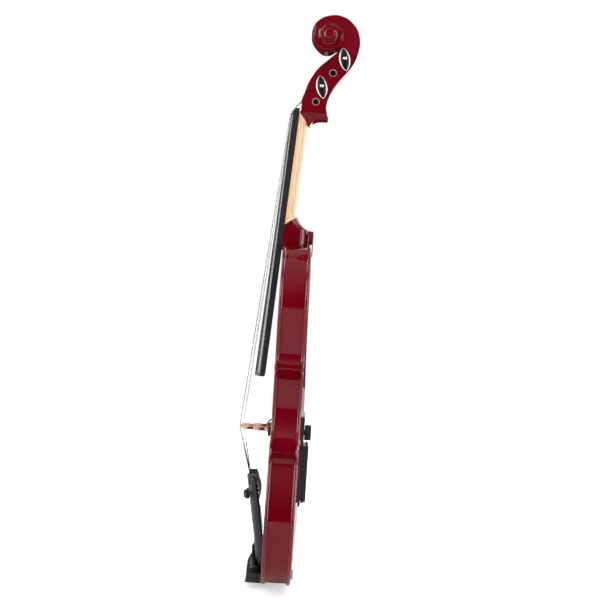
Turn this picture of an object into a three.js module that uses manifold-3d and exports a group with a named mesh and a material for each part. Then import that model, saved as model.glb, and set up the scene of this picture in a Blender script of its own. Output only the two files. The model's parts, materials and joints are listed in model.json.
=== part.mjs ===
// Electric violin: a hollow body of two plates and bent ribs, a set neck with friction pegs, a tailpiece with
// built-in fine tuners, a chin rest over the tailpiece, and a battery-powered piezo pickup.
// Millimetres. +Z points to the scroll, -Y is the string side, +X the treble side.
// The origin is the centre of the end button's flat outer face.
import * as THREE from 'three';
import { mergeVertices } from 'three/addons/utils/BufferGeometryUtils.js';
import Module from 'manifold-3d';

const wasm = await Module();
wasm.setup();

// Clearances and helpers for cutting
const gap = 0.3;
const mergeStep = 0.001;
const overrun = 5;
const far = 120;

// Body
const bodyBottom = 1.5;
const lowerWidth = 208;
const waistWidth = 112;
const upperWidth = 168;
const lowerWidest = 75;
const lowerCornerHeight = 142;
const waistRise = 43;
const waistLength = 85.5;
const upperBoutLength = 123.5;
const shoulderLength = 63;
const lowerCornerSetback = 10.5;
const upperCornerSetback = 5;
const cornerEnd = 6.8;
const bodyDepth = 29;
const plateThickness = 4;
const plateRound = 1.6;
const plateOverhang = 2;
const ribThickness = 1.2;
const lowerArch = 3.6;
const upperArch = 1.2;
const archMargin = 9;
const blockDepth = 16;
const neckBlockWidth = 56;
const endBlockWidth = 46;
const cornerBlockReach = 28;
const bassBarEndRoom = 27;
const bassBarNeckRoom = 25;
const bassBarX = 15;
const bassBarThickness = 5.5;
const bassBarDepth = 10;
const buttonWidth = 22;
const buttonRise = 14;
const buttonProud = 1.3;

// Neck and fingerboard
const nutFront = 485.9;
const nutLength = 5.6;
const boardUnderAtNut = 7.05;
const boardPitch = 0.0675;
const boardEnd = 213.5;
const boardNutWidth = 24;
const boardEndWidth = 42;
const boardNutHeight = 8.6;
const boardEndHeight = 10.5;
const crownRadius = 42;
const mortiseDepth = 7;
const neckThicknessAtHeel = 9.2;
const neckThicknessAtNut = 9.9;
const heelCurveHeight = 20;
const nutProud = 0.55;
const nutBackDrop = 3.2;

// Head
const headFront = 6.7;
const headDepth = 58.3;
const headBottom = 474.5;
const headHeight = 118;
const headNutWidth = 24.8;
const headScrollWidth = 18.4;
const pegboxWall = 4.2;
const scrollEyeWidth = 41;

// Pegs
const pegEndRadius = 2.7;
const pegCollarRadius = 3.9;
const pegEndProud = 1;
const pegCollarGap = 5;
const pegNeck = 6.5;
const pegRingRadius = 5.8;
const pegHeadLength = 23.2;
const pegHeadThickness = 8;
const pegHeadHeight = 18;
const pegBallRadius = 1.5;

// Strings and bridge
const bridgeCentre = 159.5;
const bridgeHeight = 29.8;
const bridgeFootThickness = 4.4;
const bridgeTopThickness = 1.5;
const bridgeFootWidth = 41.6;
const pickupThickness = 3.5;
const pickupLength = 9;
const pickupWidth = 48;
const nutSpacing = 5.5;
const bridgeSpacing = 11.15;
const tailSpacing = 9.6;
const pegStringShare = 0.35;
const stringRadii = { g: 0.42, d: 0.4, a: 0.35, e: 0.2 };

// Tailpiece and fine tuners
const tailBottom = 10.5;
const tailTop = 109.5;
const tailWidth = 41.2;
const tailDepth = 8.9;
const tailLowBack = 15.6;
const tailHighBack = 28.2;
const tailShell = 2.2;
const tailEndWall = 8;
const pivotWall = 2.6;
const tunerTilt = 0.168;
const tunerScrewHeight = 91.7;
const tunerHeadRadius = 3.3;
const tunerHeadLength = 4.2;
const tunerShankRadius = 1.1;
const leverThickness = 3;
const leverArmReach = 4.5;
const screwTravel = 0.6;
const pivotY = 28.5;
const pivotZ = 107;
const pivotRadius = 1;
const gutRadius = 0.7;
const gutSpacing = 9;

// Saddle and end button
const saddleWidth = 35;
const saddleTop = 17.5;
const saddleLength = 7;
const buttonHeadRadius = 7;
const buttonFaceRadius = 5.4;
const buttonHeadHeight = 1.5;
const buttonStemRadius = 3.6;
const buttonStemEnd = 22.5;

// Chin rest and its clamp
const restLeft = 100;
const restLength = 128;
const restTop = 65;
const restRidge = 17.4;
const restLip = 8;
const restEndLip = 16.2;
const restUnder = 4.6;
const restUnderAtTop = 8;
const restWall = 3;
const restEndLift = 3;
const postRadius = 1.75;
const barrelRadius = 2.75;
const barrelLength = 18;
const postLengthInBarrel = 5;
const postEdgeDistance = 2.3;
const bracketThickness = 2;
const bracketRun = 8.5;
const footPad = 1;
const treblePostX = 22;
const bassPostX = 38;

// Electronics
const plateWidth = 62;
const plateBottom = 84.5;
const plateProud = 4.5;
const windowMargin = 4;
const bayWall = 1.5;
const batteryWidth = 26.5;
const batteryThickness = 17.5;
const batteryLength = 48.5;
const doorProud = 5.7;
const doorWall = 1.5;
const doorMargin = 3;
const doorSideMargin = 2.15;
const doorPivotRadius = 1;
const knobRadius = 8;
const knobHeight = 7;
const knobSetback = 18.9;
const shaftRadius = 3;
const boardLength = 28.8;
const boardThickness = 1.6;
const boardFront = 6;
const potRadius = 8;
const jackHeight = 76.5;
const jackBodyRadius = 8;
const jackBodyLength = 24;
const jackBushRadius = 5.7;
const jackBoreRadius = 3.2;
const jackBushProud = 6;
const jackShoulderRoom = 1.2;
const jackNutRadius = 8;
const jackNutThickness = 3;
const leadRadius = 0.8;

// Places worked out from the sizes
const half = bodyDepth / 2;
const inner = half - plateThickness;
const lowerCornerLevel = bodyBottom + lowerCornerHeight;
const upperCornerLevel = lowerCornerLevel + waistLength;
const bodyTop = upperCornerLevel + upperBoutLength;
const nutBack = nutFront + nutLength;
const slope = Math.hypot(1, tunerTilt);
const tunerAxis = new THREE.Vector3(0, 1 / slope, tunerTilt / slope);

const at = (x, y) => new THREE.Vector2(x, y);
const point = (x, y, z) => new THREE.Vector3(x, y, z);
const mix = THREE.MathUtils.lerp;

// A closed solid: corners merged, flat faces dropped, every face turned outwards.
function closed(geometry) {
  const bare = new THREE.BufferGeometry();
  bare.setAttribute('position', geometry.getAttribute('position'));
  bare.setIndex(geometry.getIndex());
  const merged = mergeVertices(bare, mergeStep);
  const index = merged.getIndex().array;
  const place = merged.getAttribute('position');
  const [a, b, c] = [point(), point(), point()];
  const kept = [];
  let volume = 0;
  for (let i = 0; i < index.length; i += 3) {
    const face = [index[i], index[i + 1], index[i + 2]];
    if (new Set(face).size < 3) continue;
    kept.push(face);
    a.fromBufferAttribute(place, face[0]);
    b.fromBufferAttribute(place, face[1]);
    c.fromBufferAttribute(place, face[2]);
    volume += a.dot(b.cross(c));
  }
  const facing = volume < 0 ? kept.map(([p, q, r]) => [p, r, q]) : kept;
  merged.setIndex(facing.flat());
  return merged;
}

function manifoldOf(geometry) {
  const shell = closed(geometry);
  return new wasm.Manifold(new wasm.Mesh({
    numProp: 3,
    vertProperties: new Float32Array(shell.getAttribute('position').array),
    triVerts: new Uint32Array(shell.getIndex().array),
  }));
}

function geometryOf(manifold) {
  const mesh = manifold.getMesh();
  const geometry = new THREE.BufferGeometry();
  geometry.setAttribute('position', new THREE.BufferAttribute(new Float32Array(mesh.vertProperties), 3));
  geometry.setIndex(new THREE.BufferAttribute(new Uint32Array(mesh.triVerts), 1));
  return geometry;
}

const cut = (base, ...tools) =>
  geometryOf(tools.reduce((body, tool) => body.subtract(manifoldOf(tool)), manifoldOf(base)));

const overlap = (first, second) => geometryOf(manifoldOf(first).intersect(manifoldOf(second)));

const join = (base, ...others) =>
  geometryOf(others.reduce((body, other) => body.add(manifoldOf(other)), manifoldOf(base)));

// Prism of an (x, z) outline between two y planes, with its edges rounded where a rounding is given.
function prismY(points, front, back, round = 0) {
  const prism = new THREE.ExtrudeGeometry(new THREE.Shape(points), {
    depth: back - front - 2 * round,
    bevelEnabled: round > 0,
    bevelThickness: round,
    bevelSize: round,
    bevelOffset: -round,
    bevelSegments: 2,
  });
  prism.translate(0, 0, round);
  prism.rotateX(Math.PI / 2);
  return prism.translate(0, back, 0);
}

// Prism of a (y, z) outline between two x planes.
function prismX(points, left, right) {
  const depth = right - left;
  const prism = new THREE.ExtrudeGeometry(new THREE.Shape(points), { depth, bevelEnabled: false });
  prism.applyMatrix4(new THREE.Matrix4().makeBasis(point(0, 1, 0), point(0, 0, 1), point(1, 0, 0)));
  return prism.translate(left, 0, 0);
}

// Prism of an (x, y) outline between two z planes.
function prismZ(points, low, high, steps = 1) {
  const prism = new THREE.ExtrudeGeometry(new THREE.Shape(points), {
    depth: high - low,
    bevelEnabled: false,
    steps,
  });
  return prism.translate(0, 0, low);
}

function block(left, right, front, back, low, high) {
  const box = new THREE.BoxGeometry(right - left, back - front, high - low);
  return box.translate((left + right) / 2, (front + back) / 2, (low + high) / 2);
}

// A profile of (radius, distance) turned round the line that starts at an origin.
function turned(profile, sides, origin, direction) {
  const lathe = new THREE.LatheGeometry(profile, sides);
  const turn = new THREE.Quaternion().setFromUnitVectors(point(0, 1, 0), direction.clone().normalize());
  lathe.applyQuaternion(turn);
  return lathe.translate(origin.x, origin.y, origin.z);
}

function rod(radius, from, to, sides = 16) {
  const length = from.distanceTo(to);
  const profile = [at(0, 0), at(radius, 0), at(radius, length), at(0, length)];
  return turned(profile, sides, from, to.clone().sub(from));
}

// A round hole that a shaft of the given radius runs in: its flats clear the shaft.
const bore = (radius, from, to, sides = 16) =>
  rod((radius + gap) / Math.cos(Math.PI / sides), from, to, sides);

// A skin over rings of points with equal counts, closed by two flat ends.
function loft(rings, flatten) {
  const count = rings[0].length;
  const places = rings.flat().flatMap((p) => [p.x, p.y, p.z]);
  const faces = [];
  for (let ring = 0; ring + 1 < rings.length; ring += 1) {
    for (let i = 0; i < count; i += 1) {
      const next = (i + 1) % count;
      const [p, q] = [ring * count + i, ring * count + next];
      faces.push(p, q, q + count, p, q + count, p + count);
    }
  }
  const last = (rings.length - 1) * count;
  const clockwise = THREE.ShapeUtils.isClockWise(rings[0].map(flatten));
  const cap = (ring, start, flipped) => {
    for (const [a, b, c] of THREE.ShapeUtils.triangulateShape(ring.map(flatten), [])) {
      faces.push(start + a, start + (flipped ? c : b), start + (flipped ? b : c));
    }
  };
  cap(rings[0], 0, !clockwise);
  cap(rings[rings.length - 1], last, clockwise);
  const geometry = new THREE.BufferGeometry();
  geometry.setAttribute('position', new THREE.Float32BufferAttribute(places, 3));
  geometry.setIndex(faces);
  return geometry;
}

// A slab between a front and a back surface, both given over a square of two shares.
function slab(columns, rows, front, back) {
  const places = [];
  const faces = [];
  const width = columns + 1;
  const sheet = width * (rows + 1);
  for (const surface of [front, back]) {
    for (let row = 0; row <= rows; row += 1) {
      for (let column = 0; column <= columns; column += 1) {
        const p = surface(column / columns, row / rows);
        places.push(p.x, p.y, p.z);
      }
    }
  }
  const quad = (a, b, c, d) => faces.push(a, b, c, a, c, d);
  for (let row = 0; row < rows; row += 1) {
    for (let column = 0; column < columns; column += 1) {
      const a = row * width + column;
      quad(a, a + 1, a + 1 + width, a + width);
      quad(sheet + a, sheet + a + width, sheet + a + 1 + width, sheet + a + 1);
    }
  }
  for (let column = 0; column < columns; column += 1) {
    const top = rows * width + column;
    quad(column + 1, column, sheet + column, sheet + column + 1);
    quad(top, top + 1, sheet + top + 1, sheet + top);
  }
  for (let row = 0; row < rows; row += 1) {
    const left = row * width;
    const right = left + columns;
    quad(left, left + width, sheet + left + width, sheet + left);
    quad(right + width, right, sheet + right, sheet + right + width);
  }
  const geometry = new THREE.BufferGeometry();
  geometry.setAttribute('position', new THREE.Float32BufferAttribute(places, 3));
  geometry.setIndex(faces);
  return geometry;
}

// A route through chosen points, with one ring of the tube at each of them.
class Route extends THREE.Curve {
  constructor(points) {
    super();
    this.points = points;
  }

  getUtoTmapping(u) {
    return u;
  }

  getPoint(t) {
    const spot = THREE.MathUtils.clamp(t, 0, 1) * (this.points.length - 1);
    const index = Math.min(Math.floor(spot), this.points.length - 2);
    return this.points[index].clone().lerp(this.points[index + 1], spot - index);
  }
}

function roundSection(radius, sides) {
  return Array.from({ length: sides }, (_, i) => {
    const turn = (2 * Math.PI * i) / sides;
    return at(radius * Math.cos(turn), radius * Math.sin(turn));
  });
}

function tube(points, radius, sides = 8) {
  return new THREE.ExtrudeGeometry(new THREE.Shape(roundSection(radius, sides)), {
    steps: points.length - 1,
    extrudePath: new Route(points),
  });
}

function smooth(points, count) {
  return new THREE.CatmullRomCurve3(points).getPoints(count);
}

function mapped(geometry, move) {
  const place = geometry.getAttribute('position');
  const p = point();
  for (let i = 0; i < place.count; i += 1) {
    p.fromBufferAttribute(place, i);
    move(p);
    place.setXYZ(i, p.x, p.y, p.z);
  }
  return geometry;
}

// Linear reading of a table of [where, value] rows.
function read(table, where) {
  const next = table.findIndex(([start]) => start >= where);
  if (next < 0) return table[table.length - 1][1];
  if (next === 0) return table[0][1];
  const [[x0, y0], [x1, y1]] = [table[next - 1], table[next]];
  return mix(y0, y1, (where - x0) / (x1 - x0));
}

const group = new THREE.Group();

function add(name, geometry, color, roughness, metalness = 0) {
  const shell = closed(geometry);
  shell.computeVertexNormals();
  const mesh = new THREE.Mesh(shell, new THREE.MeshStandardMaterial({ color, roughness, metalness }));
  mesh.name = name;
  group.add(mesh);
}

const lacquer = [0x6d121d, 0.15];
const spruce = [0xd9b98a, 0.7];
const maple = [0xf0cba0, 0.45];
const ebony = [0x2c2a2d, 0.35];
const blackPlastic = [0x17171a, 0.3];
const steel = [0xc9ccd1, 0.25, 1];
const darkWire = [0x151516, 0.5];

// Outline of the treble half, seen from the front: one Bezier stretch between each pair of named points.
// Each stretch's two control points are shares of the way across and up between its ends.
const cornerLean = 0.3;
const upperTail = 0.86;
const neckTail = 0.14;
const bottom = at(0, bodyBottom);
const lowerMost = at(lowerWidth / 2, bodyBottom + lowerWidest);
const lowerTip = at(lowerWidth / 2 - lowerCornerSetback, lowerCornerLevel);
const lowerTail = at(lowerTip.x * 0.925, bodyBottom + lowerCornerHeight * 0.93);
const waistStart = at(
  lowerTip.x - cornerEnd * cornerLean,
  lowerTip.y + cornerEnd * Math.sqrt(1 - cornerLean ** 2),
);
const waistMost = at(waistWidth / 2, lowerCornerLevel + waistRise);
const upperTip = at(upperWidth / 2 - upperCornerSetback, upperCornerLevel);
const waistEnd = at(upperTip.x - cornerEnd * cornerLean * 1.4, upperTip.y - cornerEnd * 0.9);
const upperFlare = at(upperWidth / 2 * upperTail, upperTip.y + cornerEnd * 2.1);
const upperMost = at(upperWidth / 2, bodyTop - shoulderLength);
const topEnd = at(upperWidth / 2 * neckTail, bodyTop);

function stretch(from, to, shares, count) {
  const [first, second] = shares.map(([x, y]) => at(mix(from.x, to.x, x), mix(from.y, to.y, y)));
  return new THREE.CubicBezierCurve(from, first, second, to).getPoints(count);
}

const lowerEdge = [
  ...stretch(bottom, lowerMost, [[0.6, 0], [1, 0.41]], 8),
  ...stretch(lowerMost, lowerTail, [[0, 0.4], [0.63, 0.77]], 4).slice(1),
  ...stretch(lowerTail, lowerTip, [[-0.21, 0.4], [0.21, 0.85]], 3).slice(1),
];
const waistEdge = [
  ...stretch(waistStart, waistMost, [[0.49, -0.08], [1, 0.26]], 7),
  ...stretch(waistMost, waistEnd, [[0, 0.6], [0.3, 0.99]], 5).slice(1),
];
const upperEdge = [
  ...stretch(upperTip, upperFlare, [[0.85, 0.17], [1.15, 0.52]], 3),
  ...stretch(upperFlare, upperMost, [[0.17, 0.3], [1, 0.54]], 4).slice(1),
  ...stretch(upperMost, topEnd, [[0, 0.54], [0.444, 1]], 8).slice(1),
];
const flip = (points) => points.map((p) => at(-p.x, p.y)).reverse();
const trebleEdge = [...lowerEdge, ...waistEdge, ...upperEdge];
const outline = [...trebleEdge, ...flip(trebleEdge).slice(0, -1)];

// The same run of points moved inwards, square to itself: the body lies on its left.
function inset(points, distance) {
  return points.map((p, i) => {
    const before = points[Math.max(i - 1, 0)];
    const after = points[Math.min(i + 1, points.length - 1)];
    const along = after.clone().sub(before).normalize();
    return at(p.x - along.y * distance, p.y + along.x * distance);
  });
}

// Fingerboard underside and crown, as distances in front of the body's mid plane.
const boardUnder = (z) => boardUnderAtNut + (nutFront - z) * boardPitch;
const boardShare = (z) => (nutFront - z) / (nutFront - boardEnd);
const boardHalf = (z) => mix(boardNutWidth, boardEndWidth, boardShare(z)) / 2;
const boardHeight = (z) => mix(boardNutHeight, boardEndHeight, boardShare(z));
const crownDrop = (x) => crownRadius - Math.sqrt(crownRadius ** 2 - x ** 2);

const leadX = pickupWidth / 2 - pickupLength * 0.65;
const leadHoleZ = bridgeCentre + pickupLength * 1.15;

function topPlate() {
  const heel = boardHalf(bodyTop) + gap;
  return cut(
    prismY(outline, -half, -inner, plateRound),
    block(-heel, heel, -half - overrun, -inner + overrun, bodyTop - mortiseDepth - gap, bodyTop + overrun),
    block(-saddleWidth / 2 - gap, saddleWidth / 2 + gap, -half - overrun, -inner + overrun,
      bodyBottom - overrun, bodyBottom + saddleLength + gap),
    bore(leadRadius, point(leadX, -half - overrun, leadHoleZ), point(leadX, -inner + overrun, leadHoleZ), 12),
  );
}

// Half-widths of the arched field, as shares of the three bouts' half-widths less a flat margin.
function archHalf(share) {
  const lower = lowerWidth / 2 - archMargin;
  const waist = waistWidth / 2 - archMargin;
  const upper = upperWidth / 2 - archMargin;
  const archShares = [
    [0, lower * 0.42], [0.06, lower * 0.76], [0.13, lower * 0.95], [0.2, lower], [0.3, lower * 0.93],
    [0.38, lower * 0.75], [0.46, waist * 1.14], [0.53, waist], [0.6, waist * 1.12], [0.68, upper * 0.86],
    [0.76, upper * 0.98], [0.83, upper], [0.9, upper * 0.93], [0.96, upper * 0.72], [1, upper * 0.4],
  ];
  return read(archShares, share);
}

function backPlate() {
  const low = bodyBottom + archMargin;
  const high = bodyTop - archMargin;
  const place = (u, v, y) => point((2 * u - 1) * archHalf(v), y, mix(low, high, v));
  const rise = (u, v) => {
    const across = 1 - Math.abs(2 * u - 1) ** 2.4;
    const along = 1 - Math.abs(2 * v - 1) ** 6;
    return mix(lowerArch, upperArch, THREE.MathUtils.smoothstep(v, 0.45, 0.8)) * across * along;
  };
  const outside = (u, v) => place(u, v, half - gap + rise(u, v));
  const arch = slab(8, 14, outside, (u, v) => place(u, v, half - 2 * gap));
  const buttonTop = bodyTop + buttonRise;
  const side = buttonWidth / 2;
  const tongue = [
    at(-side, bodyTop - buttonRise), at(side, bodyTop - buttonRise), at(side, bodyTop + side * 0.3),
    at(side * 0.72, buttonTop - side * 0.2), at(side * 0.38, buttonTop), at(-side * 0.38, buttonTop),
    at(-side * 0.72, buttonTop - side * 0.2), at(-side, bodyTop + side * 0.3),
  ];
  const seat = plateWidth / 2 + gap;
  const window = plateWidth / 2 - windowMargin;
  return cut(
    join(prismY(outline, inner, half, plateRound), arch, prismY(tongue, inner, half + buttonProud)),
    block(-seat, seat, half, half + far, plateBottom - gap, plateTop + gap),
    block(-window, window, inner - overrun, half + overrun,
      plateBottom + windowMargin, plateTop - windowMargin),
  );
}

// The space above or below a corner's middle line, less a clearance next to the line.
function halfPlane(corner, angle, upper, clearance) {
  const box = new THREE.BoxGeometry(far, bodyDepth, far / 2);
  box.translate(0, 0, (upper ? 1 : -1) * (far / 4 - clearance));
  box.rotateY(-angle);
  return box.translate(corner.x, 0, corner.y);
}

// Used to mitre the two ribs that meet at a corner.
const mitre = (corner, upper) => halfPlane(corner.middle, corner.angle, upper, gap / 2);

const lowerCorner = { middle: lowerTip.clone().lerp(waistStart, 0.5), angle: 0.21 };
const upperCorner = { middle: upperTip.clone().lerp(waistEnd, 0.5), angle: -0.42 };

function ribStrip(points) {
  const strip = [...inset(points, plateOverhang), ...inset(points, plateOverhang + ribThickness).reverse()];
  return prismY(strip, -inner, inner);
}

const mirror = (geometry) => mapped(geometry.clone(), (p) => p.setX(-p.x));

function lowerRib() {
  const run = [...flip(lowerEdge).slice(0, -1), ...lowerEdge];
  const upperSide = mitre(lowerCorner, true);
  const jackX = -lowerWidth / 2;
  return cut(
    ribStrip(run),
    upperSide,
    mirror(upperSide),
    bore(buttonStemRadius, point(0, 0, bodyBottom - overrun), point(0, 0, bodyBottom + 2 * overrun)),
    bore(jackBushRadius, point(jackX - overrun, 0, jackHeight), point(jackX + 2 * overrun, 0, jackHeight)),
  );
}

function waistRib() {
  return cut(
    ribStrip(waistEdge),
    mitre(lowerCorner, false),
    mitre(upperCorner, true),
  );
}

function upperRib() {
  const neck = boardHalf(bodyTop) + gap;
  return cut(
    ribStrip(upperEdge),
    mitre(upperCorner, false),
    block(-neck, neck, -bodyDepth, bodyDepth, upperMost.y, bodyTop + overrun),
  );
}

// Blocks fill the inside of the ribs between the two plates.
const blockInset = plateOverhang + ribThickness + gap;
const endBlockTop = bodyBottom + blockInset + blockDepth;
const neckBlockLow = bodyTop - blockInset - blockDepth;

function cornerBlock(first, second, corner) {
  const slant = 3 * cornerBlockReach;
  const ends = { start: first[0].y, tip: first[first.length - 1].y, end: second[second.length - 1].y };
  const below = [
    at(-cornerBlockReach, ends.start - slant), ...inset(first, blockInset),
    at(-cornerBlockReach, ends.tip + slant),
  ];
  const above = [
    at(-cornerBlockReach, second[0].y - slant), ...inset(second, blockInset), at(-cornerBlockReach, ends.end),
  ];
  const { x, y } = corner.middle;
  const reach = rod(cornerBlockReach, point(x, -bodyDepth, y), point(x, bodyDepth, y), 24);
  return overlap(reach, join(
    cut(prismY(below, -inner, inner), halfPlane(corner.middle, corner.angle, true, -gap / 2)),
    cut(prismY(above, -inner, inner), halfPlane(corner.middle, corner.angle, false, -gap / 2)),
  ));
}

const heightAt = (points, x) => read(points.map((p) => [p.x, p.y]), x);

function neckBlock() {
  const side = neckBlockWidth / 2;
  const rim = inset(upperEdge, blockInset).reverse();
  const inside = rim.filter((p) => p.x < side).reverse();
  const treble = [at(side, neckBlockLow), at(side, heightAt(rim, side)), ...inside];
  const heel = boardHalf(bodyTop) + gap;
  return cut(
    prismY([...treble, ...flip(treble)], -inner, inner),
    block(-heel, heel, -bodyDepth, bodyDepth, bodyTop - mortiseDepth - gap, bodyTop + overrun),
  );
}

function endBlock() {
  const side = endBlockWidth / 2;
  const rim = inset(lowerEdge, blockInset);
  const treble = [...rim.filter((p) => p.x < side), at(side, heightAt(rim, side)), at(side, endBlockTop)];
  return cut(
    prismY([...flip(treble).slice(0, -1), ...treble], -inner, inner),
    bore(buttonStemRadius, point(0, 0, bodyBottom - overrun), point(0, 0, buttonStemEnd + overrun)),
  );
}

// The bar under the top plate carries the bridge's bass foot and tapers to both ends.
function bassBar() {
  const low = endBlockTop + bassBarEndRoom;
  const high = neckBlockLow - bassBarNeckRoom;
  const shares = [[0, 0.3], [0.2, 0.7], [0.43, 1], [0.6, 0.95], [0.8, 0.65], [1, 0.3]];
  const profile = shares.map(([along, deep]) => at(-inner + deep * bassBarDepth, mix(low, high, along)));
  const side = bassBarThickness / 2;
  return prismX([at(-inner, low), ...profile, at(-inner, high)], -bassBarX - side, -bassBarX + side);
}

// The neck's section at one height: flat under the fingerboard, rounded behind.
function neckRing(z, back, power) {
  const front = -boardUnder(z) + gap;
  const side = boardHalf(z);
  return Array.from({ length: 15 }, (_, i) => {
    const turn = (Math.PI * i) / 14;
    const across = Math.sign(Math.cos(turn)) * Math.abs(Math.cos(turn)) ** (2 / power);
    return point(side * across, front + (back - front) * Math.sin(turn) ** (2 / power), z);
  });
}

function neckBlank() {
  const buttonTop = bodyTop + buttonRise;
  const shaftStart = buttonTop + heelCurveHeight;
  const heelBack = inner - gap;
  const neckBack = -boardUnder(shaftStart) + gap + neckThicknessAtHeel;
  const heelShares = [[0, 1], [0.05, 0.86], [0.11, 0.73], [0.28, 0.5], [0.53, 0.26], [0.75, 0.1], [1, 0]];
  const rings = [
    neckRing(bodyTop - mortiseDepth, heelBack, 3.4),
    neckRing(bodyTop, heelBack, 3.4),
    ...heelShares.map(([rise, depth]) =>
      neckRing(buttonTop + rise * heelCurveHeight, mix(neckBack, heelBack, depth), mix(2.3, 3.2, depth))),
    ...[0.4, 1].map((share) => {
      const z = mix(shaftStart, nutBack + overrun, share);
      return neckRing(z, -boardUnder(z) + gap + mix(neckThicknessAtHeel, neckThicknessAtNut, share), 2.3);
    }),
  ];
  return loft(rings, (p) => at(p.x, p.y));
}

// Everything on the left of the line from one (y, z) place to another, moved off the line by a distance.
function beyond(from, to, off) {
  const along = to.clone().sub(from).normalize();
  const left = at(-along.y, along.x);
  const start = from.clone().addScaledVector(along, -far).addScaledVector(left, off);
  const end = to.clone().addScaledVector(along, far).addScaledVector(left, off);
  const away = left.clone().multiplyScalar(3 * far);
  return prismX([start, end, end.clone().add(away), start.clone().add(away)], -far, far);
}

// Borders of the lacquered heel and head on the bare neck.
const heelStart = bodyTop + buttonRise;
const heelBorder = [
  at(-boardUnder(heelStart), heelStart + heelCurveHeight * 0.17),
  at(-boardUnder(heelStart) + neckThicknessAtHeel * 1.5, heelStart + heelCurveHeight * 0.67),
];
const headBorder = [
  at(-headFront, headBottom + headHeight * 0.108),
  at(-headFront + headDepth * 0.188, headBottom),
];

function neckHeel(blank) {
  return cut(blank, beyond(heelBorder[0], heelBorder[1], 0));
}

function neckShaft(blank) {
  return cut(
    blank,
    beyond(heelBorder[1], heelBorder[0], -gap),
    beyond(headBorder[0], headBorder[1], -gap),
  );
}

function crownRing(z, under, height, side, count = 9) {
  const crown = Array.from({ length: count }, (_, i) => {
    const x = side * (1 - (2 * i) / (count - 1));
    return point(x, -under - height + crownDrop(x), z);
  });
  return [point(-side, -under, z), point(side, -under, z), ...crown];
}

function fingerboard() {
  const rings = [boardEnd, (boardEnd + nutFront) / 2, nutFront - gap]
    .map((z) => crownRing(z, boardUnder(z), boardHeight(z), boardHalf(z)));
  return loft(rings, (p) => at(p.x, p.y));
}

function nut() {
  const under = boardUnder(nutFront);
  const rings = [[nutFront, 0], [nutBack, nutBackDrop]].map(([z, drop]) =>
    crownRing(z, under, boardNutHeight + nutProud - drop, boardNutWidth / 2));
  return loft(rings, (p) => at(p.x, p.y));
}

// Side view of the head, as shares of its depth and height: pegbox front, scroll, then the back and the chin.
const headShares = [
  [0, 0.108], [0.025, 0.147], [0.02, 0.218], [0.068, 0.289], [0.112, 0.361], [0.183, 0.433], [0.282, 0.507],
  [0.436, 0.582], [0.518, 0.619], [0.596, 0.657], [0.686, 0.716], [0.582, 0.685], [0.469, 0.653],
  [0.331, 0.656], [0.183, 0.719], [0.122, 0.784], [0.131, 0.852], [0.209, 0.922], [0.358, 0.968],
  [0.54, 0.985],
  [0.69, 0.97], [0.8, 0.94], [0.924, 0.876], [0.978, 0.811], [1, 0.737], [0.975, 0.669], [0.932, 0.598],
  [0.856, 0.525], [0.74, 0.452], [0.628, 0.378], [0.542, 0.304], [0.486, 0.233], [0.462, 0.162],
  [0.489, 0.092], [0.503, 0.063], [0.353, 0.058], [0.251, 0.036], [0.188, 0],
];
const cavityShares = [
  [-0.2, 0.174], [0.26, 0.169], [0.37, 0.212], [0.43, 0.284], [0.511, 0.356], [0.625, 0.432],
  [0.735, 0.508], [0.808, 0.572], [0.803, 0.606], [0.718, 0.619], [-0.2, 0.619],
];
const headPlace = ([depth, height]) => at(-headFront + depth * headDepth, headBottom + height * headHeight);
const headHalf = (z) => mix(headNutWidth, headScrollWidth,
  THREE.MathUtils.clamp((z - headBottom) / (headHeight * 0.66), 0, 1)) / 2;
const eye = headPlace([0.44, 0.803]);

// Each peg: its axis as shares of the head, the side of its thumb piece and the thumb piece's lean.
const pegs = {
  g: { place: headPlace([0.272, 0.209]), side: -1, lean: 0.35 },
  d: { place: headPlace([0.543, 0.471]), side: -1, lean: -0.2 },
  a: { place: headPlace([0.723, 0.553]), side: 1, lean: 0.13 },
  e: { place: headPlace([0.355, 0.303]), side: 1, lean: 0.22 },
};

// Length of a peg's tapered part, from its small end to its collar.
const pegLength = (place) => 2 * headHalf(place.y) + pegEndProud + pegCollarGap;
const pegAt = (place, x) => point(x, place.x, place.y);

function pegHole({ place, side }) {
  const reach = headHalf(place.y) + pegEndProud;
  const length = pegLength(place);
  const widen = (radius) => (radius + gap) / Math.cos(Math.PI / 16);
  const profile = [at(0, 0), at(widen(pegEndRadius), 0), at(widen(pegCollarRadius), length), at(0, length)];
  return turned(profile, 16, pegAt(place, -side * reach), point(side, 0, 0));
}

function peg({ place, side, lean }) {
  const reach = headHalf(place.y) + pegEndProud;
  const length = pegLength(place);
  const ringThickness = pegRingRadius / 4;
  const headCentre = length + pegNeck + pegHeadHeight / 2;
  const profile = [
    at(0, 0), at(pegEndRadius, 0), at(pegCollarRadius, length), at(pegRingRadius * 0.92, length),
    at(pegRingRadius, length + ringThickness / 2), at(pegRingRadius * 0.8, length + ringThickness),
    at(pegCollarRadius * 0.85, length + 2 * ringThickness), at(pegCollarRadius * 0.85, headCentre),
    at(0, headCentre),
  ];
  const stem = turned(profile, 16, pegAt(place, -side * reach), point(side, 0, 0));
  const thumb = new THREE.SphereGeometry(1, 12, 8);
  thumb.rotateZ(Math.PI / 2);
  thumb.scale(pegHeadHeight / 2, pegHeadThickness / 2, pegHeadLength / 2);
  thumb.rotateX(lean);
  const thumbX = side * (headCentre - reach);
  thumb.translate(thumbX, place.x, place.y);
  const ball = new THREE.SphereGeometry(pegBallRadius, 8, 6);
  ball.translate(thumbX + side * pegHeadHeight / 2, place.x, place.y);
  return join(stem, thumb, ball);
}

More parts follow.
